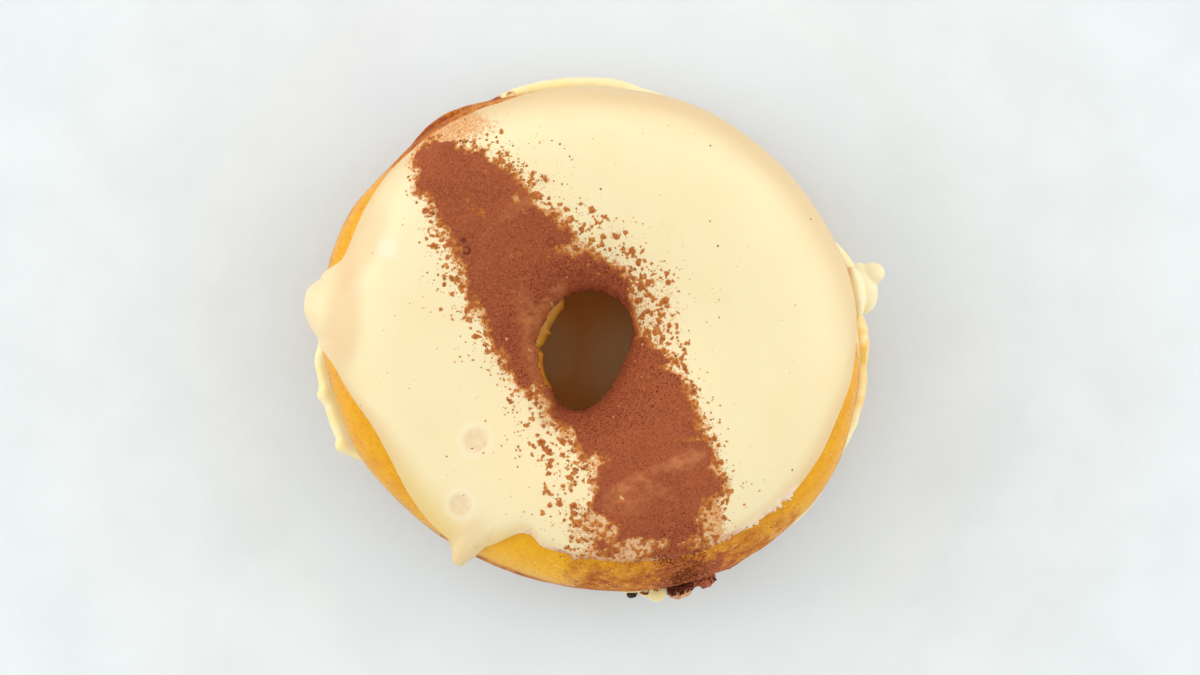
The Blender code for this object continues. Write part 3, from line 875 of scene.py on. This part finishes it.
def dough_relief(place):
    """The uneven, finely blistered surface of fried dough."""
    soft = layers(place, (0.00016, 0.007, 51), (0.00007, 0.0025, 52))
    blisters = 0.00005 * noise_at(place, 0.0013, 53) ** 2 + 0.00002 * noise_at(place, 0.0008, 54)
    return soft + blisters


def lower_profile():
    """Section of the lower half: up the outside, over the cut and down the hole's wall."""
    turns = np.radians(np.linspace(88.0, 3.0, 30))
    power = 2.0 / LOWER_ROUNDNESS
    swing = np.cos(turns) ** power
    level = 1.0 - np.sin(turns) ** power
    outside = list(zip(FOOT_OUTER + (1.0 - FOOT_OUTER) * swing, level))
    outside[0] = (FOOT_OUTER, 0.0)
    inside = list(zip(FOOT_INNER - FOOT_INNER * swing, level))[::-1]
    inside[-1] = (FOOT_INNER, 0.0)
    cut = [(share, 1.0) for share in (0.993, 0.985, 0.96, 0.9, 0.5, 0.1, 0.04, 0.015, 0.007)]
    foot = [(share, 0.0) for share in (0.38, 0.45, 0.52, 0.6, 0.66)]
    return outside + cut + inside + foot


def lower_point(bearing, share, level):
    """Points of the lower half: level is 0 on the underside and 1 on the cut face."""
    inner, outer = edges(bearing, lower_hole(bearing), lower_rim(bearing))
    flat = inner + (outer - inner) * share[:, None]
    return np.column_stack([flat, level * lower_cut(bearing)])


def make_dough_base():
    """The lower half of the dough."""
    piece, bearing, share, level = ring_piece("fried_dough_lower", DOUGH_TURNS, lower_profile(), lower_point)
    free = ease(level / 0.06) * ease((1.0 - level) / 0.03)
    push_out(piece, (dough_relief(places_of(piece)) - 0.0001) * free)
    ledge = (0.5 + 0.4 * hump(bearing, 116, 130, 146)) * stretch_of(bearing, 112, 139, 6)
    paint(piece, height=level, crumb=ease((level - 0.985) / 0.01), dust=ledge * ease((level - 0.6) / 0.2),
          hole=ease((0.30 - share) / 0.12) * ease((level - 0.05) / 0.6))
    return piece


def upper_profile():
    """Section of the upper half, as stations along its back and its cut face."""
    bare = list(np.linspace(-0.985, -0.02, 34))
    iced = list(np.linspace(0.0, 0.06, 8)) + list(np.linspace(0.1, 0.9, 17)) + list(np.linspace(0.94, 1.0, 6))
    hole = list(np.linspace(1.08, 1.98, 12))
    back = [(along, 1.0) for along in bare + iced + hole]
    return back + [(along, 0.0) for along in (1.9, 1.5, 0.5, -0.5, -0.9)]


def upper_point(bearing, along, level):
    """Points of the upper half: level is 1 on its rounded back and 0 on its cut face."""
    back = upper_back(bearing, along, 0.0)
    middle, outward, half = upper_section(bearing)
    share = 1.0 - 2.0 * (along + 1.0) / 3.0
    flat = middle + outward * (half * share)[:, None]
    cut = np.column_stack([flat, upper_cut(bearing)])
    return np.where(level[:, None] > 0.5, back, cut)


def make_dough_top():
    """The upper half of the dough."""
    piece, bearing, along, _ = ring_piece("fried_dough_upper", DOUGH_TURNS, upper_profile(), upper_point)
    place = places_of(piece)
    height = (place[:, 2] - upper_cut(bearing)) / UPPER_HEIGHT
    iced = ease((along + 0.02) / 0.04) * ease((1.02 - along) / 0.04)
    free = ease(height / 0.04) * (1.0 - iced)
    push_out(piece, (dough_relief(place) - 0.00008) * free)
    blurred = bearing + layers(place, (2.5, 0.0032, 63), (1.2, 0.0011, 64))
    level_edge = 0.36 + layers(place, (0.14, 0.0030, 65), (0.06, 0.0010, 66))
    smeared = stretch_of(blurred, 357, 371, 6) * ease((level_edge - height) / 0.14)
    outside, inside = ease(0.5 - along), ease((along - 0.9) / 0.1)
    ragged = bearing + layers(place, (3.0, 0.0024, 56), (2.2, 0.0009, 57))

    def stain(strength, change, size, seed, *stretch):
        """Cocoa on the outer wall in a stretch of it."""
        uneven = strength + change * noise_at(place, size, seed)
        return uneven * stretch_of(ragged, *stretch) * outside

    dark = stretch_of(ragged, 286, 297, 6) * outside
    beside = stain(0.60, 0.25, 0.0016, 58, 279, 307, 9)
    light = stain(0.42, 0.25, 0.0020, 59, 267, 316, 8)
    # Brown low on the outer wall at the bottom: cocoa stain and browning, and painted shade where the wall
    # turns under
    low = 0.60 * ease((0.52 - height) / 0.22) + 0.30 * ease((0.30 - height) / 0.15)
    shaded_margin = low * stretch_of(ragged, 238, 284, 8) * outside
    light = np.maximum(light * ease((height - 0.10) / 0.4), shaded_margin)
    under = stain(0.55, 0.35, 0.0014, 60, 268, 292, 5)
    light = np.maximum(light, under * ease((height - 0.18) / 0.25))
    dark = np.maximum(dark, beside)
    ledge = (0.55 + 0.35 * hump(bearing, 116, 130, 146)) * stretch_of(bearing, 112, 138, 8) * outside
    walls = stretch_of(bearing, 232, 300, 10) * inside
    # A band at the bottom that takes painted highlights, and darker and lighter grain
    glint = stretch_of(bearing, 250, 300, 6) * ease((height - 0.3) / 0.2) * outside
    # Painted light: a brighter gold patch on the outer wall at the bottom left
    sunny = 0.7 * stretch_of(bearing, 243, 260, 8) * ease((height - 0.38) / 0.15) * outside
    crumb = np.maximum(1.0 - ease(height / 0.02), smeared)
    paint(piece, height=height, crumb=crumb, glint=glint, sunny=sunny,
          dust=np.maximum.reduce([dark, light, ledge, walls]), hole=ease((along - 1.0) / 0.1))
    return piece


def make_dough_grains(find):
    """Grains of cocoa on the bare dough below the stripe."""
    chance = np.random.default_rng(37)
    bearing = chance.uniform(260.0, 322.0, GRAIN_TRIES)
    radius = chance.uniform(0.0370, 0.0470, GRAIN_TRIES)
    flat = RING_CENTRE + pointing(bearing) * radius[:, None]
    ragged = bearing + 4.0 * noise_at(grounded(flat), 0.0022, 81)
    band, beside = stretch_of(ragged, 288, 295, 5), stretch_of(ragged, 264, 314, 10)
    chosen = chance.random(len(flat)) < 0.40 * band + 0.035 * beside
    flat, band = flat[chosen], band[chosen]
    radii = (0.00006 + 0.00008 * chance.random(len(flat)) ** 2) * (1.0 + 0.6 * band)
    places, kept = drop_on(find, flat, 0.0 * radii)
    return scatter_lumps("cocoa_dough_grains", places, radii[kept], chance, 0.7)


# Cream

def cream_profile():
    """Section of the cream: a flat layer with rounded ends."""
    face = [0.06, 0.2, 0.47, 0.75, MOUTH_SHARE, 0.93, 0.955]
    swing = np.radians(np.linspace(-78.0, 78.0, 15))
    hole_end = [(0.03 - 0.03 * np.cos(turn), np.sin(turn)) for turn in swing]
    rim_end = [(0.958 + 0.042 * np.cos(turn), np.sin(turn)) for turn in swing[::-1]]
    return hole_end + [(share, 1.0) for share in face] + rim_end + [(share, -1.0) for share in face[::-1]]


def cream_point(bearing, share, level):
    """Points of the cream: level is 1 on its upper face and -1 on its lower face."""
    around = np.column_stack([pointing(bearing) * DOUGH_RADIUS, level * CREAM_HEIGHT * 0.5])
    lumps = layers(around, (0.00024, 0.0045, 61), (0.00010, 0.0018, 62))
    inner, mouth = edges(bearing, cream_hole(bearing), lower_rim(bearing) - MOUTH_DEPTH)
    inner = inner + pointing(bearing) * (0.5 * lumps)[:, None]
    outer = RING_CENTRE + pointing(bearing) * (cream_rim(bearing) + lumps)[:, None]
    inside = inner + (mouth - inner) * (share / MOUTH_SHARE)[:, None]
    outside = mouth + (outer - mouth) * ((share - MOUTH_SHARE) / (1.0 - MOUTH_SHARE))[:, None]
    flat = np.where(share[:, None] > MOUTH_SHARE, outside, inside)
    free = np.clip((from_centre(flat) - lower_rim(bearing) - FREE_FROM) / FREE_WIDTH, 0.0, 1.0)
    half = (CREAM_HEIGHT / 2.0 - TOUCHING) * (1.0 + FREE_SWELLING * free)
    middle = lower_cut(bearing) + CREAM_HEIGHT / 2.0 - FREE_DROOP * free
    return np.column_stack([flat, middle + level * half])


def make_cream():
    """The layer of cream."""
    piece, bearing, share, level = ring_piece("cream_layer", CREAM_TURNS, cream_profile(), cream_point)
    place = places_of(piece)
    ragged = bearing + layers(place, (2.2, 0.0020, 67), (1.6, 0.0007, 68))
    ledge = stretch_of(ragged, 113, 137, 5)
    drift = stretch_of(ragged, 286, 303, 5)
    lower_left, right = stretch_of(bearing, 186, 206, 8), stretch_of(bearing, 318, 382, 8)
    bottom, top = stretch_of(bearing, 276, 290, 4), stretch_of(bearing, 60, 130, 10)
    thin = np.maximum.reduce([1.2 * lower_left, 0.9 * right, 1.2 * bottom, top])
    # Darker yellow painted in the gap under the upper half's edge at the right: painted shade
    gap = ease(1.5 * hump(bearing, 352.2, 356.0, 360) - 0.2) * (level > 0.0)
    outer = ease((share - 0.3) / 0.2)
    paint(piece, dust=np.maximum(ledge, drift) * ease(share / 0.2), thin=thin * outer,
          amber=0.9 * stretch_of(bearing, 346, 364, 6) * outer, hole=ease((0.2 - share) / 0.1),
          gap=gap * ease((share - 0.95) / 0.02) * ease((0.996 - share) / 0.012))
    return piece


def rim_place(bearing, distance, height):
    """A place beside the rim, at a height over the cream's middle."""
    flat = RING_CENTRE + distance * pointing(bearing)
    return Vector((*flat, lower_cut(bearing) + CREAM_HEIGHT / 2.0 + height))


def melted_lumps(name, lobes, voxel):
    """Rounded lumps melted into closed surfaces."""
    work = bmesh.new()
    for bearing, distance, height, radii in lobes:
        place = Matrix.Translation(rim_place(bearing, distance, height))
        turn = Matrix.Rotation(np.radians(bearing), 4, "Z")
        stretch = Matrix.Diagonal((*radii, 1.0))
        bmesh.ops.create_icosphere(work, subdivisions=4, radius=1.0, matrix=place @ turn @ stretch)
    mesh = bpy.data.meshes.new(name)
    work.to_mesh(mesh)
    work.free()
    piece = add_piece(name, mesh)
    remesh = piece.modifiers.new("melt", "REMESH")
    remesh.mode = "VOXEL"
    remesh.voxel_size = voxel
    smooth = piece.modifiers.new("smooth", "SMOOTH")
    smooth.factor = 0.5
    smooth.iterations = 10
    bpy.context.view_layer.update()
    evaluated = piece.evaluated_get(bpy.context.evaluated_depsgraph_get())
    made = bpy.data.meshes.new_from_object(evaluated)
    piece.modifiers.clear()
    piece.data = made
    made.shade_smooth()
    return piece


def make_cream_lobes():
    """Smooth lobes of cream squeezed out at the right and at the bottom."""
    piece = melted_lumps("cream_lobes", RIM_LOBES, CREAM_VOXEL)
    place = places_of(piece)
    low = place[:, 1] < 0.0
    uneven = (0.00012 + 0.00030 * low) * noise_at(place, 0.0026, 71)
    push_out(piece, uneven + (0.00004 + 0.00022 * low) * noise_at(place, 0.0011, 72))
    paint(piece, thin=1.4 * low)
    return piece


def make_cocoa_lobes():
    """Lobes of cream at the bottom, under a thick drift of cocoa."""
    piece = melted_lumps("cocoa_lobes", COCOA_LOBES, COCOA_VOXEL)
    place = places_of(piece)
    push_out(piece, layers(place, (0.00026, 0.0009, 73), (0.00016, 0.00042, 74)))
    ragged = layers(place, (0.0005, 0.0009, 75), (0.0003, 0.0004, 76))
    bare = ease((from_centre(place[:, :2]) + ragged - 0.0468) / 0.0005)
    left = ease((0.0180 + 0.0005 * noise_at(place, 0.002, 77) - place[:, 0]) / 0.002)
    dark = ease((0.0178 + 0.0006 * noise_at(place, 0.001, 78) - place[:, 0]) / 0.0016)
    paint(piece, dust=1.0 - bare * left, dark=dark)
    return piece


def make_lobe_grains(name, find, inner, least):
    """Dark grains of cocoa on the lobes, or on the dough just above them."""
    chance = np.random.default_rng(31)
    bearing = chance.uniform(284.0, 303.0, LOBE_GRAIN_TRIES)
    radius = chance.uniform(inner, 0.0475, LOBE_GRAIN_TRIES)
    flat = RING_CENTRE + pointing(bearing) * radius[:, None]
    ragged = flat[:, 0] + 0.0008 * noise_at(grounded(flat), 0.0013, 83)
    wish = ease((ragged - 0.0128) / 0.0012) * ease((0.0182 - ragged) / 0.0016)
    flat = flat[chance.random(len(flat)) < np.maximum(least, wish)]
    radii = 0.00009 + 0.00016 * chance.random(len(flat)) ** 2
    places, kept = drop_on(find, flat, 0.4 * radii)
    return scatter_lumps(name, places, radii[kept], chance, 1.0)


def make_rim_crumbs():
    """A few crumbs on the cream beside the fleck of chocolate."""
    chance = np.random.default_rng(43)
    bearing = np.concatenate([chance.normal(280.4, 0.8, 26), chance.normal(282.8, 1.0, 12)])
    places = [rim_place(turn, chance.uniform(0.0449, 0.0460), chance.uniform(0.0008, 0.0022))
              for turn in bearing]
    radii = chance.uniform(0.00010, 0.00026, len(places))
    return scatter_lumps("cocoa_rim_crumbs", places, radii, chance, 0.8)


def make_fleck():
    """The small fleck of dark chocolate."""
    bearing, distance, height, radii = FLECK
    work = bmesh.new()
    bmesh.ops.create_icosphere(work, subdivisions=3, radius=1.0)
    draw = random.Random(3)
    turn = Matrix.Rotation(np.radians(bearing), 3, "Z")
    chips = [Vector((draw.gauss(0, 1), draw.gauss(0, 1), draw.gauss(0, 1))).normalized() for _ in range(9)]
    for vertex in work.verts:
        out = vertex.co.normalized()
        flats = min(0.8 / max(out.dot(chip), 0.75) for chip in chips)
        vertex.co = turn @ Vector([size * share * flats for size, share in zip(radii, out)])
        vertex.co += rim_place(bearing, distance, height)
    mesh = bpy.data.meshes.new("chocolate_fleck")
    work.to_mesh(mesh)
    work.free()
    return add_piece("chocolate_fleck", mesh)


# Materials

def shade(red, green, blue):
    """A colour given in screen values from 0 to 255."""
    screen = np.array([red, green, blue]) / 255.0
    linear = np.where(screen < 0.04045, screen / 12.92, ((screen + 0.055) / 1.055) ** 2.4)
    return (*linear.tolist(), 1.0)


class Value:
    """What a node works out, from numbers, colours and other values."""

    def __init__(self, kind, output, sockets, **settings):
        self.kind, self.output, self.sockets, self.settings = kind, output, sockets, settings

    def __add__(self, other):
        return arithmetic("ADD", self, other)

    def __mul__(self, other):
        return arithmetic("MULTIPLY", self, other)

    def build(self, tree, made):
        """The socket that gives this value, from a node that is made once in a tree."""
        if self not in made:
            node = tree.nodes.new("ShaderNode" + self.kind)
            for name, setting in self.settings.items():
                setattr(node, name, setting)
            for socket, value in self.sockets.items():
                feed(node.inputs[socket], value, tree, made)
            made[self] = node.outputs[self.output]
        return made[self]


def feed(socket, value, tree, made):
    """Sets a socket to a number or a colour, or links it to a value."""
    if isinstance(value, Value):
        tree.links.new(value.build(tree, made), socket)
    else:
        socket.default_value = shade(*value) if socket.type == "RGBA" else value


PLACE = Value("TexCoord", "Object", {})


def arithmetic(operation, first, second):
    """One step of arithmetic."""
    return Value("Math", 0, {0: first, 1: second}, operation=operation)


def painted(name):
    """A value kept on the piece's points."""
    return Value("Attribute", "Fac", {}, attribute_name=name)


def noise(size, detail=3.0, roughness=0.55):
    """Noise in lumps of a size in metres, from 0 to 1."""
    sockets = {"Vector": PLACE, "Scale": 1.0 / size, "Detail": detail, "Roughness": roughness}
    return Value("TexNoise", "Fac", sockets)


def spots(size):
    """Distance from the middles of cells of a size in metres."""
    return Value("TexVoronoi", "Distance", {"Vector": PLACE, "Scale": 1.0 / size})


def distance(centre):
    """Distance from an upright line at a place."""
    flat = Value("VectorMath", 0, {0: PLACE, 1: (1.0, 1.0, 0.0)}, operation="MULTIPLY")
    return Value("VectorMath", 1, {0: flat, 1: (*centre, 0.0)}, operation="DISTANCE")


def span(value, low, high, start=0.0, end=1.0, easing="SMOOTHSTEP"):
    """Goes from start to end as a value goes from low to high."""
    sockets = dict(enumerate((value, low, high, start, end)))
    return Value("MapRange", 0, sockets, interpolation_type=easing)


def mix(share, first, second):
    """A mix of two colours."""
    return Value("Mix", 2, {0: share, 6: first, 7: second}, data_type="RGBA")


def mottled(size, low, high, first, second, detail=3.0):
    """Two colours in patches of a size in metres."""
    return mix(span(noise(size, detail), low, high), first, second)


def coat(colour, *coats):
    """A colour under other colours, each with its share."""
    for share, over in coats:
        colour = mix(share, colour, over)
    return colour


def bump(height, depth, under=None):
    """Fine relief of a depth in metres, on top of other relief."""
    sockets = {"Height": height, "Distance": depth} | ({"Normal": under} if under else {})
    return Value("Bump", 0, sockets)


def material(name, colour, roughness, normal, **constants):
    """A material with its colour, roughness and relief, and constants of its surface."""
    new = bpy.data.materials.new(name)
    new.use_nodes = True
    inputs = new.node_tree.nodes["Principled BSDF"].inputs
    for socket, value in constants.items():
        inputs[socket.replace("_", " ")].default_value = value
    made = {}
    for socket, value in (("Base Color", colour), ("Roughness", roughness), ("Normal", normal)):
        feed(inputs[socket], value, new.node_tree, made)
    return new


def cocoa_colour():
    """Reddish brown powder with darker and lighter grains."""
    fine = noise(0.00034, 2.0)
    grains = span(fine, 0.52, 0.68, 0.0, 0.75) * span(painted("pitted"), 0.0, 1.0, 0.65, 1.25)
    return coat(
        mottled(0.006, 0.35, 0.65, (164, 84, 50), (174, 90, 54), 2.0),
        (span(noise(0.0010), 0.52, 0.75, 0.0, 0.55), (188, 104, 66)),
        (span(fine, 0.46, 0.30, 0.0, 0.6), (192, 108, 70)),
        (grains, (100, 40, 20)),
    )


def icing_material():
    """Pale set icing, thinner and pinker at its torn edge, with dents and dust."""
    pink = mottled(0.0012, 0.35, 0.6, (252, 226, 196), (243, 203, 165))
    brown = mottled(0.0008, 0.40, 0.6, (234, 178, 132), (204, 128, 82))
    speck = span(spots(0.0017), 0.09, 0.04) * span(noise(0.004, 1.0), 0.52, 0.58, 0.0, 0.35)
    near = painted("near") + span(noise(0.0006, 4.0, 0.7), 0.3, 0.7, -0.7, 0.7)
    low_end = span(distance((0.004, -0.034)), 0.014, 0.007)
    grit = span(noise(0.0003, 3.0, 0.7), 0.56, 0.64) * span(painted("near"), -2.6, -0.3, 0.0, 0.85)
    dusted = painted("dusted") * span(noise(0.0005), 0.3, 0.6, 0.7, 1.0)
    colour = coat(
        mottled(0.02, 0.35, 0.65, (255, 236, 188), (254, 232, 182), 2.0),
        # Rim tint: the thin icing's colour at its edges, and painted shade on its steep slopes
        (painted("rim") * 0.9, mix(painted("yellow"), (226, 187, 130), (240, 203, 110))),
        # Painted peach shade on the icing's slopes over the lobe and above the drip
        (painted("lobe"), (238, 202, 150)),
        (painted("film") * 0.95, mix(painted("brown"), pink, brown)),
        (painted("pink") * span(noise(0.0009), 0.35, 0.65, 0.45, 0.8), (244, 210, 168)),
        (painted("pale") * 0.6, (255, 240, 210)),
        (speck, (190, 158, 104)),
        (span(near, -1.5, 0.0, 0.0, 0.82), mix(low_end, (230, 154, 84), (230, 170, 122))),
        (grit, (186, 106, 58)),
        (dusted, mix(painted("golden"), (200, 116, 60), (255, 184, 50))),
    )
    normal = bump(noise(0.00022) * dusted, 0.0001, bump(noise(0.0009, 2.0), 0.00003))
    return material("icing", colour, span(near, -0.6, 0.3, 0.36, 0.8), normal,
                    Subsurface_Weight=0.12, Subsurface_Scale=0.0012, IOR=1.42)


def cocoa_material():
    """Cocoa powder, orange where it lies thin."""
    cover = painted("cover") + span(noise(0.0003, 2.0), 0.3, 0.7, -0.12, 0.12)
    thin = mottled(0.0005, 0.4, 0.6, (210, 130, 60), (184, 102, 46), 2.0)
    # The dark rings are painted shade in the crust's bubbles
    powder = coat(cocoa_colour(), (painted("rubbed") * 0.55, (220, 142, 88)),
                  (painted("ring") * 0.85, (84, 28, 16)))
    colour = coat((236, 174, 104), (span(cover, -0.10, 0.22), thin), (span(cover, 0.20, 0.90), powder))
    return material("cocoa", colour, 0.92, bump(noise(0.0003, 2.0), 0.00018), IOR=1.3)


def crumb_material(name, light, dark):
    """Crumbs of cocoa, each with its own tone."""
    grains = span(noise(0.0002, 2.0), 0.5, 0.65, 0.0, 0.4)
    colour = coat(light, (span(painted("tone"), 0.0, 1.0), dark), (grains, (124, 58, 26)))
    return material(name, colour, 0.9, bump(noise(0.00015, 2.0), 0.00005), IOR=1.3)


def dough_material(name, gold, brown, low, high):
    """Fried dough, browned towards one end with painted shade there, blistered, with painted oily highlights.
    """
    height = painted("height") + span(noise(0.006), 0.3, 0.7, -0.12, 0.12)
    fine, glint_and_grain_band = noise(0.0009, 4.0, 0.6), painted("glint")
    # Pale spots all over, and more in the glint band: painted highlights of the oily dough
    painted_sparkle = span(spots(0.0010), 0.22, 0.12, 0.0, 0.75) * span(noise(0.003), 0.46, 0.58)
    glint = span(spots(0.0008), 0.24, 0.12, 0.0, 0.7) * glint_and_grain_band * span(noise(0.0016), 0.50, 0.60)
    grit = mix(0.6, noise(0.0004, 3.0, 0.7), noise(0.0018, 4.0, 0.6))
    dusty = painted("dust") + grit
    dust = span(dusty, 0.60, 1.20) * span(painted("dust"), 0.0, 0.2)
    stain = mix(span(grit, 0.4, 0.6), (214, 128, 44), (176, 92, 34))
    colour = coat(
        brown,
        # Browner towards the lower edge: browning, and painted shade where the dough turns under
        (span(height, low, high), gold),
        (span(fine, 0.48, 0.70, 0.0, 0.25), (250, 200, 62)),
        (span(fine, 0.52, 0.28, 0.0, 0.35), (226, 132, 22)),
        (span(noise(0.0034), 0.42, 0.66, 0.0, 0.5), (226, 146, 10)),
        # Painted light
        (painted("sunny"), (255, 194, 44)),
        (span(noise(0.00045, 3.0, 0.7), 0.48, 0.66, 0.0, 0.5) * glint_and_grain_band, (200, 112, 40)),
        (span(noise(0.00055, 3.0, 0.7), 0.46, 0.30, 0.0, 0.6) * glint_and_grain_band, (255, 196, 96)),
        (painted("crumb"), mottled(0.0006, 0.4, 0.6, (250, 222, 158), (236, 194, 118))),
        (painted("hole"), mottled(0.002, 0.35, 0.65, (255, 190, 60), (244, 156, 34))),
        (dust, mix(span(dusty, 1.16, 1.45), stain, cocoa_colour())),
        # Painted highlights
        (arithmetic("MAXIMUM", painted_sparkle, glint), (255, 218, 150)),
    )
    roughness = arithmetic("MAXIMUM", span(fine, 0.3, 0.7, 0.24, 0.5), dust * 0.9)
    normal = bump(noise(0.0005), 0.00002, bump(noise(0.0012, 2.0), 0.00005))
    return material(name, colour, roughness, normal,
                    Subsurface_Weight=0.08, Subsurface_Scale=0.001, IOR=1.28)


def cream_material():
    """Soft pale cream with a moist sheen, yellower where it is thin and in its folds."""
    dusty = painted("dust") + noise(0.0004, 3.0, 0.7)
    dust = span(dusty, 0.70, 1.25) * span(painted("dust"), 0.0, 0.2)
    colour = coat(
        mottled(0.004, 0.35, 0.65, (255, 240, 196), (254, 235, 186)),
        (painted("thin") * span(noise(0.003, 1.0), 0.3, 0.7, 0.3, 0.85), (255, 233, 160)),
        (painted("amber") * span(noise(0.002, 1.0), 0.3, 0.6, 0.4, 1.0), (252, 208, 122)),
        # Painted shade in the gap
        (painted("gap") * 0.85, (236, 180, 30)),
        (painted("hole") * 0.97, mottled(0.0009, 0.4, 0.6, (255, 186, 54), (255, 208, 92))),
        (dust, cocoa_colour()),
    )
    return material("cream", colour, span(dust, 0.0, 0.6, 0.3, 0.9), bump(noise(0.0016, 2.0), 0.00008),
                    Subsurface_Weight=0.2, Subsurface_Scale=0.0012, IOR=1.40)


def lobe_cocoa_material():
    """Cream under a thick drift of cocoa."""
    cream = mottled(0.0007, 0.35, 0.65, (242, 194, 146), (214, 142, 94))
    light = mottled(0.0004, 0.42, 0.58, (198, 110, 68), (134, 66, 38))
    dark = mottled(0.0004, 0.42, 0.58, (132, 62, 34), (66, 26, 14))
    colour = mix(painted("dust"), cream, mix(painted("dark"), light, dark))
    return material("cocoa_on_cream", colour, 0.85, bump(noise(0.00022), 0.00015), IOR=1.4)


def chocolate_material():
    """Dark chocolate."""
    colour = mix(noise(0.0004), (38, 22, 16), (66, 40, 28))
    return material("chocolate", colour, 0.4, bump(noise(0.0003), 0.00005), IOR=1.45)


def floor_material():
    """A pale, faintly mottled surface, brown painted shade under the hole, painted light at its sides."""
    # Brown painted shade under the hole, warm like light bounced from the dough
    hole_shade = span(distance(HOLE_CENTRE), 0.0125, 0.0105, 0.0, 0.96)
    # Paler painted light where side light reaches the floor through the hole
    right = span(distance(HOLE_CENTRE + (0.0065, -0.0015)), 0.012, 0.002)
    left = span(distance(HOLE_CENTRE + (-0.0065, 0.0)), 0.009, 0.002, 0.0, 0.7)
    side_light = arithmetic("MAXIMUM", right, left)
    colour = coat(
        mottled(0.02, 0.3, 0.7, (237, 241, 241), (243, 247, 247), 4.0),
        # Cooler tint round the doughnut: painted light that offsets the warm light bounced from it
        (span(distance(RING_CENTRE), 0.072, 0.046), (234, 246, 252)),
        (hole_shade, mix(side_light, (250, 196, 96), (255, 236, 178))),
    )
    return material("pale_surface", colour, 0.8, bump(noise(0.004), 0.0001), IOR=1.3)


def wear(piece, coating, slot, *nodes):
    """Gives a piece its material, its place on the body and the nodes that it stands for."""
    piece.data.materials.clear()
    piece.data.materials.append(coating)
    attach(piece, "root")
    if nodes:
        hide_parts(*nodes)


# Floor, light and camera

def make_floor():
    """The pale floor."""
    bpy.ops.mesh.primitive_plane_add(size=3.0, location=(0.0, 0.0, 0.0))
    floor = bpy.context.object
    floor.name = "floor"
    floor.data.materials.append(floor_material())


# The sky's strength everywhere, more towards both sides, and more towards the top of the
# photograph; how far out a side starts and is full; then the lamps: name, place, size, power
SKY = (0.40, 0.94, 0.50)
SIDES = (0.10, 0.80)
LAMPS = (
    ("soft_left", (-0.95, 0.25, 0.62), 0.6, 1.8),
    ("soft_right", (0.95, 0.15, 0.60), 0.6, 1.0),
)


def soft_light(name, place, size, power, colour):
    """A soft square light that faces the doughnut."""
    light = bpy.data.lights.new(name, "AREA")
    light.shape = "SQUARE"
    light.size = size
    light.energy = power
    light.color = colour
    lamp = bpy.data.objects.new(name, light)
    lamp.location = place
    lamp.rotation_euler = (-Vector(place)).to_track_quat("-Z", "Y").to_euler()
    bpy.context.scene.collection.objects.link(lamp)


def light_scene():
    """A pale sky, brighter at both sides and towards the photograph's top, and two soft lamps."""
    world = bpy.data.worlds.new("studio")
    bpy.context.scene.world = world
    world.use_nodes = True
    heading = Value("TexCoord", "Generated", {})
    across, ahead = (Value("SeparateXYZ", axis, {0: heading}) for axis in "XY")
    sides = span(arithmetic("ABSOLUTE", across, 0.0), *SIDES, 0.0, SKY[1])
    strength = sides + span(ahead, 0.0, 1.0, 0.0, SKY[2], "LINEAR") + SKY[0]
    sky = world.node_tree.nodes["Background"].inputs
    sky["Color"].default_value = (0.97, 0.99, 1.0, 1.0)
    feed(sky["Strength"], strength, world.node_tree, {})
    for name, place, size, power in LAMPS:
        soft_light(name, place, size, power, (1.0, 0.995, 0.98))
    bpy.context.scene.view_settings.view_transform = "Standard"


def make_camera():
    """The camera, straight above the doughnut."""
    lens = bpy.data.cameras.new("camera")
    lens.sensor_width = SENSOR_WIDTH
    lens.lens = SENSOR_WIDTH * (CAMERA_PLACE[2] - VIEW_LEVEL) / VIEW_WIDTH
    camera = bpy.data.objects.new("camera", lens)
    camera.location = CAMERA_PLACE
    bpy.context.scene.collection.objects.link(camera)
    bpy.context.scene.camera = camera


def dress():
    """Makes every piece."""
    make_camera()
    icing = make_icing()
    find = surface_under(icing)
    powder = cocoa_material()
    crumbs = crumb_material("cocoa_crumb", (230, 152, 76), (178, 102, 46))
    dark_crumbs = crumb_material("cocoa_dark_crumb", (190, 104, 54), (112, 52, 24))
    wear(icing, icing_material(), "icing", "icing")
    for name, side in (("cocoa_stripe_upper", 1.0), ("cocoa_stripe_lower", -1.0)):
        sheet = cocoa_sheet(name, find, lambda flat: side * (STRIPE_SPLIT - along_stripe(flat)[0]) > 0.0)
        wear(sheet, powder, "cocoa")
    wear(make_specks(find), crumbs, "cocoa")
    wear(make_clumps(), crumbs, "cocoa")
    lower = dough_material("lower_dough", (240, 172, 18), (190, 122, 46), 0.35, 0.95)
    wear(make_dough_base(), lower, "lower_dough", "dough_base")
    upper = dough_material("upper_dough", (238, 169, 2), (186, 112, 44), 0.02, 0.38)
    top = make_dough_top()
    wear(top, upper, "upper_dough", "dough_top")
    wear(make_dough_grains(surface_under(top)), dark_crumbs, "cocoa")
    cream = cream_material()
    wear(make_cream(), cream, "cream", "cream_filling")
    wear(make_cream_lobes(), cream, "cream")
    lobes = make_cocoa_lobes()
    wear(lobes, lobe_cocoa_material(), "cocoa")
    darkest = crumb_material("cocoa_darkest_crumb", (128, 60, 32), (66, 26, 14))
    wear(make_lobe_grains("cocoa_lobe_grains", surface_under(lobes), 0.0405, 0.2), darkest, "cocoa")
    wear(make_lobe_grains("cocoa_drift_grains", surface_under(top), 0.0428, 0.0), dark_crumbs, "cocoa")
    wear(make_rim_crumbs(), dark_crumbs, "cocoa")
    wear(make_fleck(), chocolate_material(), "chocolate")
    make_floor()
    light_scene()


dress()
bpy.context.view_layer.update()
